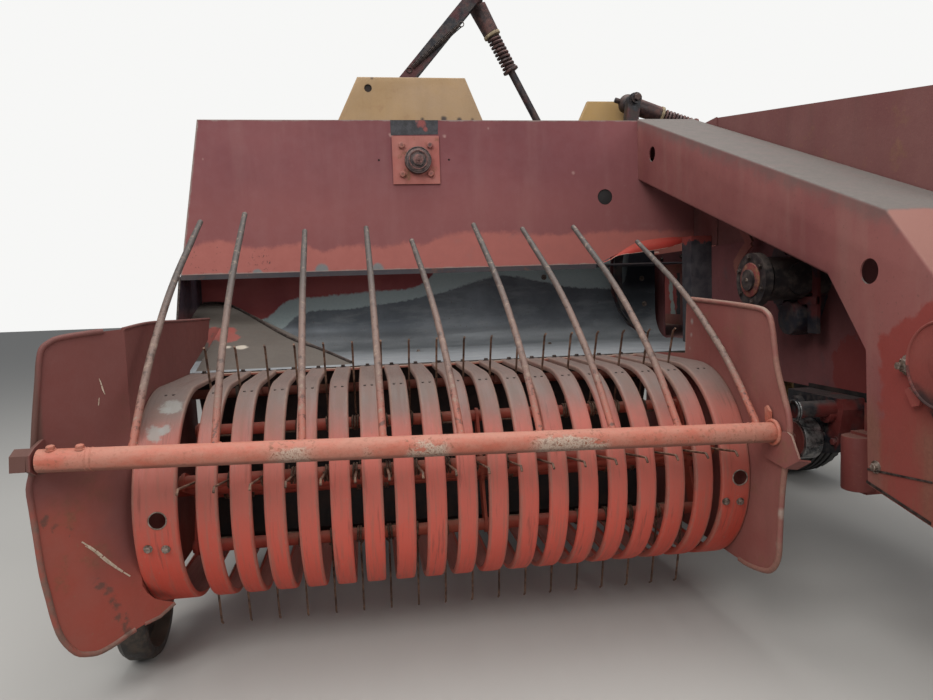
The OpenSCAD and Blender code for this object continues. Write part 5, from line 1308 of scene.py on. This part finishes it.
for spot in circle(at(0.985, cast_y, cast_z), 0.045, 6, "yz"):
    bolt(bm, spot, (-1, 0, 0), 0.007, 1.4)
oily_casting = greasy("oily_casting", (0.020, 0.022, 0.032), (0.075, 0.060, 0.058), (0.15, 0.030, 0.028))
finished("feed_casting", bm, oily_casting, "chassis", 30)
bm, nuts = bmesh.new(), bmesh.new()
rod(bm, at(0.878, 0, 0.915), at(0.884, 0, 0.915), 0.050, 48, 0.003)
for spot in circle(at(0.8832, 0, 0.915), 0.064, 6, "yz", 0.4):
    bolt(nuts, spot, (-1, 0, 0), 0.0065, 1.4)
cap_worn = worn_paint("cap_worn", (0.20, 0.030, 0.026), (0.060, 0.024, 0.024), dust_share=0.2, haze=0.04,
                      rust_share=1.0, grain=4.0)
finished("gearbox_cap", bm, cap_worn, "chassis", 30)
finished("gearbox_nuts", nuts, dark_steel, "chassis", 30)
bm = bmesh.new()
rod(bm, at(0.868, 0, 0.915), at(0.874, 0, 0.915), 0.006, 16, 0.001)
sweep(bm, smooth_line([at(1.005, 0.262, 0.852), at(0.99, 0.235, 0.875), at(0.985, 0.20, 0.915),
                       at(0.99, 0.185, 0.955)], 5), 0.0035, 6)
finished("trip_wires", bm, rubbed_steel, "chassis", 60)

# Backing plate of the drive under the frame. Sheet steel cut to a slanting outline and held
# behind the castings, where it shuts the gap below the chamber's side; its near black colour is
# painted shade for the dark space there.
bm = bmesh.new()
slab(bm, side(1.094, [(-420, 420), (-420, 600), (40, 600), (40, 480), (-110, 420)]), (0.0025, 0, 0))
finished("drive_backing", bm, shade_black, "chassis", 30)

# Pickup drive below: a red clutch drum with a bare rim on a bracket under the frame, a bright
# seal ring, a pale belt pulley and a red tube. The bracket and housings are oily castings.
DRUM_Y, DRUM_Z = -0.132, 0.473
SEAL_Y, SEAL_Z = -0.172, 0.560


def along_x(bm, x0, x1, y, z, radius, sides, lip=0.0):
    rod(bm, at(x0, y, z), at(x1, y, z), radius, sides, lip)


bm = bmesh.new()
slab(bm, side(1.020, [(30, 588), (-205, 588), (-215, 560), (-190, 440), (-110, 420), (-40, 470), (30, 540)]),
     (0.070, 0, 0))
for y, z, r in ((-0.030, 0.545, 0.030), (-0.165, 0.545, 0.026), (-0.10, 0.500, 0.040)):
    along_x(bm, 1.000, 1.022, y, z, r, 32, 0.003)
for y, z in ((-0.030, 0.545), (-0.165, 0.545), (-0.185, 0.470), (-0.055, 0.478)):
    bolt(bm, at(1.000 if z > 0.5 else 1.020, y, z), (-1, 0, 0), 0.010, 1.5)
along_x(bm, 0.905, 1.020, DRUM_Y, DRUM_Z, 0.016, 24)
along_x(bm, 0.908, 1.022, SEAL_Y, SEAL_Z, 0.0225, 32, 0.002)
bracket_casting = greasy("bracket_casting", (0.018, 0.020, 0.026), (0.080, 0.070, 0.066), (0.20, 0.035, 0.030))
finished("drive_bracket", bm, bracket_casting, "chassis", 30)
dull_red = worn_paint("dull_red", (0.150, 0.020, 0.018), (0.19, 0.036, 0.028), dust_share=0.3, haze=0.06,
                      rust_share=0.3)
bm = bmesh.new()
along_x(bm, 0.930, 0.934, DRUM_Y, DRUM_Z, 0.048, 48, 0.001)
along_x(bm, 0.923, 0.931, DRUM_Y, DRUM_Z, 0.018, 32, 0.002)
finished("drum_face", bm, dull_red, "chassis", 30)
bm = bmesh.new()
along_x(bm, 0.933, 0.985, DRUM_Y, DRUM_Z, 0.056, 56, 0.003)
along_x(bm, 0.985, 0.998, DRUM_Y, DRUM_Z, 0.030, 32, 0.002)
for x in (0.905, 0.912):
    sweep(bm, circle(at(x, SEAL_Y, SEAL_Z), 0.026, 32, "yz"), 0.0030, 8, True)
bare_steel = small_metal("bare_steel", (0.10, 0.105, 0.11), (0.40, 0.40, 0.39), 0.35, 0.8, 45)
finished("drum_rim", bm, bare_steel, "chassis", 30)
bm = bmesh.new()
rod(bm, at(1.010, -0.288, 0.368), at(1.010, -0.288, 0.508), 0.040, 40, 0.004)
slab(bm, [at(x, y, 0.360) for x, y in ((1.010, -0.318), (1.060, -0.318), (1.060, -0.258), (1.010, -0.258))],
     (0, 0, 0.155))
slab(bm, [at(x, -0.300, z) for x, z in ((1.040, 0.500), (1.095, 0.500), (1.095, 0.588), (1.040, 0.588))],
     (0, 0.030, 0))
finished("red_tube", bm, dull_red, "chassis", 35)

# Chamber, housing, frame and knotter hood in old red paint; castings are oily and dusty. A side
# plate shuts the housing towards the hood, and one more stands between the tension rails.
for name in ("chamber_roof", "wall_far", "knotter_cover", "twine_box", "twine_lid"):
    coat(name, chamber_paint)
housing_paint = worn_paint("housing_paint", (0.150, 0.033, 0.036), (0.185, 0.054, 0.054), rust_share=0.3, haze=0.16)
coat("front_housing", housing_paint)
coat("chamber_floor", maroon_wall)
bm = bmesh.new()
slab(bm, side(1.0985, [(600, 1056), (800, 1056), (800, 1528), (600, 1528)]), (0.004, 0, 0))
finished("housing_side", bm, housing_paint, "chassis", 30)
bm = bmesh.new()
slab(bm, side(1.5835, [(1951, 700), (2700, 700), (2700, 1040), (1951, 1040)]), (0.004, 0, 0))
runs = [((1.583, 2.060 + 0.012 * math.sin(z * 23), z), 0.036, (0.36, 0.43, 0.40))
        for z in (0.70, 0.75, 0.80, 0.85, 0.90, 0.95)]
soot = [((1.583, 1.960, z), 0.045, (0.02, 0.02, 0.024)) for z in (0.70, 0.76, 0.82, 0.88, 0.94, 1.00)]
streaked = worn_paint("streaked_paint", (0.36, 0.050, 0.045), (0.40, 0.085, 0.072), rust_share=0.2, haze=0.04,
                      spots=runs + soot)
finished("side_plates", bm, streaked, "chassis", 30)
for name in ("tension_rails", "bale_chute", "axle_frame", "drawbar", "jack", "flywheel"):
    coat(name, frame_paint)
casting = greasy("casting_grey", (0.024, 0.021, 0.022), (0.085, 0.066, 0.058))
for name in ("gearbox", "knotters", "needles", "star_wheel", "plunger", "tension_screws"):
    coat(name, casting)

# Gearbox and flywheel. The cast case has stiffening ribs, a filler plug and a bolted bearing
# flange; the flywheel's hub is bolted on, and its stub shaft is splined for the drive shaft.
MAIN_X, MAIN_Z = 0.871, 0.760
bm = bmesh.new()
for x in (0.6835, 1.0465):
    for y in (-1.435, -1.375, -1.235, -1.180):
        slab(bm, [Vector((x, y, 0.700)), Vector((x, y + 0.014, 0.700)), Vector((x, y + 0.014, 0.895)),
                  Vector((x, y, 0.915))], (0.012, 0, 0))
slab(bm, [Vector((x, y, 0.9185)) for x, y in ((0.720, -1.440), (1.022, -1.440), (1.022, -1.174), (0.720, -1.174))],
     (0, 0, 0.008))
for x in (0.735, 0.871, 1.007):
    for y in (-1.425, -1.189):
        bolt(bm, Vector((x, y, 0.9265)), (0, 0, 1), 0.009, 1.5)
rod(bm, Vector((0.940, -1.380, 0.926)), Vector((0.940, -1.380, 0.946)), 0.016, 20, 0.002)
bolt(bm, Vector((0.940, -1.380, 0.946)), (0, 0, 1), 0.011, 1.2)
for spot in circle(Vector((MAIN_X, -1.5172, MAIN_Z)), 0.050, 6, "xz", 0.5):
    bolt(bm, spot, (0, -1, 0), 0.008, 1.4)
finished("gearbox_ribs", bm, casting, "chassis", 30)
bm = bmesh.new()
for spot in circle(Vector((MAIN_X, -1.7268, MAIN_Z)), 0.055, 6, "xz"):
    bolt(bm, spot, (0, -1, 0), 0.009, 1.5)
centre = Vector((MAIN_X, -1.816, MAIN_Z))
for k in range(12):
    a = math.tau * k / 12
    way, wide = Vector((math.cos(a), 0, math.sin(a))), Vector((-math.sin(a), 0, math.cos(a))) * 0.0022
    spline = [centre + way * 0.0165 - wide, centre + way * 0.0192 - wide * 0.7,
              centre + way * 0.0192 + wide * 0.7, centre + way * 0.0165 + wide]
    slab(bm, spline, (0, 0.062, 0))
finished("flywheel_bolts", bm, dark_steel, "flywheel", 30)

# Knotters, under their cover: on each twine disc a cam ring and its bolts, a bill hook and a
# tucker finger of bare steel; threaded tension screws with coil springs and crank grips.
bm = bmesh.new()
for x in (0.775, 0.935):
    disc = Vector((x, 1.043, 1.1845))
    for r, thick in ((0.098, 0.0045), (0.062, 0.0040)):
        sweep(bm, circle(disc + Vector((0.002, 0, 0)), r, 48, "yz"), thick, 6, True)
    for spot in circle(disc - Vector((0.0238, 0, 0)), 0.082, 8, "yz"):
        bolt(bm, spot, (-1, 0, 0), 0.006, 1.5)
    hook = [Vector((x + out, y, z)) for out, y, z in (
        (0.030, 1.085, 1.100), (0.030, 1.100, 1.150), (0.034, 1.128, 1.172), (0.040, 1.160, 1.166),
        (0.046, 1.176, 1.150))]
    sweep(bm, smooth_line(hook, 4), [0.009 - 0.0004 * k for k in range(17)], 8)
    rod(bm, Vector((x + 0.030, 1.080, 1.0565)), Vector((x + 0.030, 1.085, 1.104)), 0.015, 20, 0.002)
finished("knotter_gear", bm, rubbed_steel, "chassis", 40)
bm = bmesh.new()
for x in (0.591, 1.151):
    screw = Vector((x, 1.908, 0))
    coil = helix(screw + Vector((0, 0, 1.113)), Vector((0, 0, 0.082)), Vector((1, 0, 0)), Vector((0, 1, 0)),
                 0.0225, 7, 12)
    sweep(bm, coil, 0.0038, 6)
    for k in range(22):
        sweep(bm, circle(screw + Vector((0, 0, 0.5805 + 0.004 * k)), 0.0112, 14, "xy"), 0.0011, 4, True)
    rod(bm, Vector((x, 2.026, 1.222)), Vector((x, 2.026, 1.292)), 0.0115, 20, 0.003)
finished("tension_springs", bm, dark_steel, "chassis", 50)

# Rows of bolts hold the chamber's plates, its housing and the rails together; the twine box
# has clips, and its lid a bent handle.
bm = bmesh.new()
for k in range(13):
    y = -1.05 + 0.198 * k
    for z in (0.712, 1.030):
        bolt(bm, Vector((1.1168, y, z)), (1, 0, 0), 0.0085, 1.5)
    if y > 0.2:
        bolt(bm, Vector((0.6252, y, 1.030)), (-1, 0, 0), 0.0085, 1.5)
for k in range(7):
    bolt(bm, Vector((1.1108, -1.05 + 0.165 * k, 1.075)), (1, 0, 0), 0.0075, 1.5)
for x in (0.660, 0.760, 0.871, 0.982, 1.082):
    bolt(bm, Vector((x, -1.1172, 1.075)), (0, -1, 0), 0.0075, 1.5)
for x in (0.190, 0.520):
    clip = [(-0.020, 1.080), (0.020, 1.080), (0.016, 1.165), (-0.016, 1.165)]
    slab(bm, [Vector((x + dx, 1.113, z)) for dx, z in clip], (0, 0.006, 0))
    rod(bm, Vector((x - 0.014, 1.122, 1.120)), Vector((x + 0.014, 1.122, 1.120)), 0.004, 12)
finished("chamber_bolts", bm, dark_steel, "chassis", 30)
bm = bmesh.new()
handle = [Vector(p) for p in ((0.290, 1.125, 1.195), (0.290, 1.150, 1.192), (0.300, 1.158, 1.190),
                              (0.400, 1.158, 1.190), (0.410, 1.150, 1.192), (0.410, 1.125, 1.195))]
sweep(bm, smooth_line(handle, 4), 0.0052, 8)
for x in (0.290, 0.410):
    rod(bm, Vector((x, 1.1245, 1.195)), Vector((x, 1.1275, 1.195)), 0.012, 20, 0.001)
finished("lid_handle", bm, dark_steel, "twine_lid", 50)

# Drawbar and jack. The hitch eye has a hardened bush, the jack's crank a worn grip, and its
# foot is welded round its edge.
swung = math.radians(18)
along = Vector((-math.sin(swung), -math.cos(swung), 0))
sideways = Vector((math.cos(swung), -math.sin(swung), 0))
king = Vector((0.871, -0.697, 0))
bm = bmesh.new()
eye = king + along * 2.120
for z in (0.3545, 0.3855):
    sweep(bm, circle(eye + Vector((0, 0, z)), 0.0265, 36, "xy"), 0.0045, 8, True)
for s in (1.94, 1.98):
    for z, up in ((0.3855, 1), (0.3545, -1)):
        for off in (0.030, -0.030):
            bolt(bm, king + along * s + Vector((0, 0, z)) + sideways * off, (0, 0, up), 0.011, 1.5)
finished("hitch_bush", bm, rubbed_steel, "drawbar", 40)
bm = bmesh.new()
stand = king + along * 1.6 - sideways * 0.145
grip = stand - sideways * 0.114
rod(bm, grip + Vector((0, 0, 0.684)), grip + Vector((0, 0, 0.758)), 0.0135, 24, 0.004)
for k in range(5):
    sweep(bm, circle(grip + Vector((0, 0, 0.697 + 0.012 * k)), 0.0138, 20, "xy"), 0.0012, 4, True)
sweep(bm, circle(stand + Vector((0, 0, 0.0105)), 0.0265, 28, "xy"), 0.0035, 6, True)
sweep(bm, circle(stand + Vector((0, 0, 0.655)), 0.0345, 32, "xy"), 0.0030, 6, True)
finished("jack_grip", bm, dark_steel, "jack", 40)

# Wheels. Two farm tyres of unequal size, with four ribs round the tread and lugs on the shoulders,
# on pale yellow disc rims. Each hub has five bolts, a grease cap and a bent valve.


def old_rubber():
    material, tree, where = start_look("old_rubber")
    patches = noise(tree, where, 9.0, 6, 0.65)
    fine = noise(tree, where, 110.0, 4, 0.7)
    colour = mix(tree, patches, (0.018, 0.018, 0.019), (0.050, 0.046, 0.042))
    colour = mix(tree, ramp(tree, fine, 0.58, 0.72, 0.0, 0.5), colour, (0.11, 0.095, 0.08))
    finish_look(material, colour, ramp(tree, patches, 0.3, 0.7, 0.75, 0.92), fine, 0.0, 0.0012)
    return material


rubber = old_rubber()
rim_paint = worn_paint("rim_paint", (0.55, 0.40, 0.14), (0.50, 0.40, 0.22), haze=0.2, rust_share=0.4)
for name, centre, wide, inner_r, outer_r in (
    ("left", Vector((1.304, 0.673, 0.380)), 0.230, 0.200, 0.380),
    ("right", Vector((-1.211, 0.673, 0.330)), 0.180, 0.180, 0.330),
):
    half, deep = wide / 2, outer_r - inner_r
    outline = [
        (inner_r, -0.62), (inner_r + 0.018, -0.64), (inner_r + 0.040, -0.88), (inner_r + deep * 0.42, -0.985),
        (inner_r + deep * 0.5, -1.0), (inner_r + deep * 0.58, -0.995), (outer_r - deep * 0.25, -0.96),
        (outer_r - 0.018, -0.86), (outer_r - 0.010, -0.78), (outer_r - 0.002, -0.56), (outer_r, -0.45)]
    for k in range(4):
        middle = -0.36 + 0.24 * k
        outline += [(outer_r, middle - 0.055), (outer_r - 0.009, middle - 0.030), (outer_r - 0.009, middle + 0.030),
                    (outer_r, middle + 0.055)]
    outline += [(r, -x) for r, x in outline[10::-1]]
    bm = bmesh.new()
    section = closed_line(bm, [centre + Vector((x * half, r, 0)) for r, x in outline])
    ends = list({v for e in section for v in e.verts})
    bmesh.ops.spin(bm, geom=section + ends, cent=centre, axis=(1, 0, 0), angle=math.tau, steps=96, use_merge=True)
    lug = ((outer_r - 0.034, 0.885), (outer_r - 0.012, 0.845), (outer_r - 0.0015, 0.62), (outer_r - 0.008, 0.60))
    for k in range(48):
        a = math.tau * k / 48
        way, ahead = Vector((0, math.cos(a), math.sin(a))), Vector((0, -math.sin(a), math.cos(a)))
        for out in (-1, 1):
            slab(bm, [centre + Vector((out * x * half, 0, 0)) + way * r - ahead * 0.006 for r, x in lug],
                 ahead * 0.012)
    finished("tread_" + name, bm, rubber, name + "_wheel", 30, stands_for=["tyre_" + name])
    out = 1 if name == "left" else -1
    bm = bmesh.new()
    for spot in circle(centre + Vector((out * 0.0195, 0, 0)), 0.086, 5, "yz"):
        bolt(bm, spot, (out, 0, 0), 0.012, 1.35)
    rod(bm, centre + Vector((out * 0.043, 0, 0)), centre + Vector((out * 0.062, 0, 0)), 0.044, 36, 0.006)
    valve = centre + Vector((out * 0.020, 0, inner_r * 0.80))
    sweep(bm, [valve, valve + Vector((out * 0.018, 0, 0.002)), valve + Vector((out * 0.034, 0, -0.008))],
          [0.0045, 0.0042, 0.0035], 8)
    finished("hub_" + name, bm, dark_steel, name + "_wheel", 40)
for name in ("rim_left", "rim_right"):
    coat(name, rim_paint)
# Gauge wheel in dirty dark steel, its dark colour partly dirt and partly painted shade for the shaded place below
# the wing.
coat("gauge_wheel", greasy("dirt_and_shade_wheel", (0.030, 0.026, 0.024), (0.085, 0.066, 0.052)))
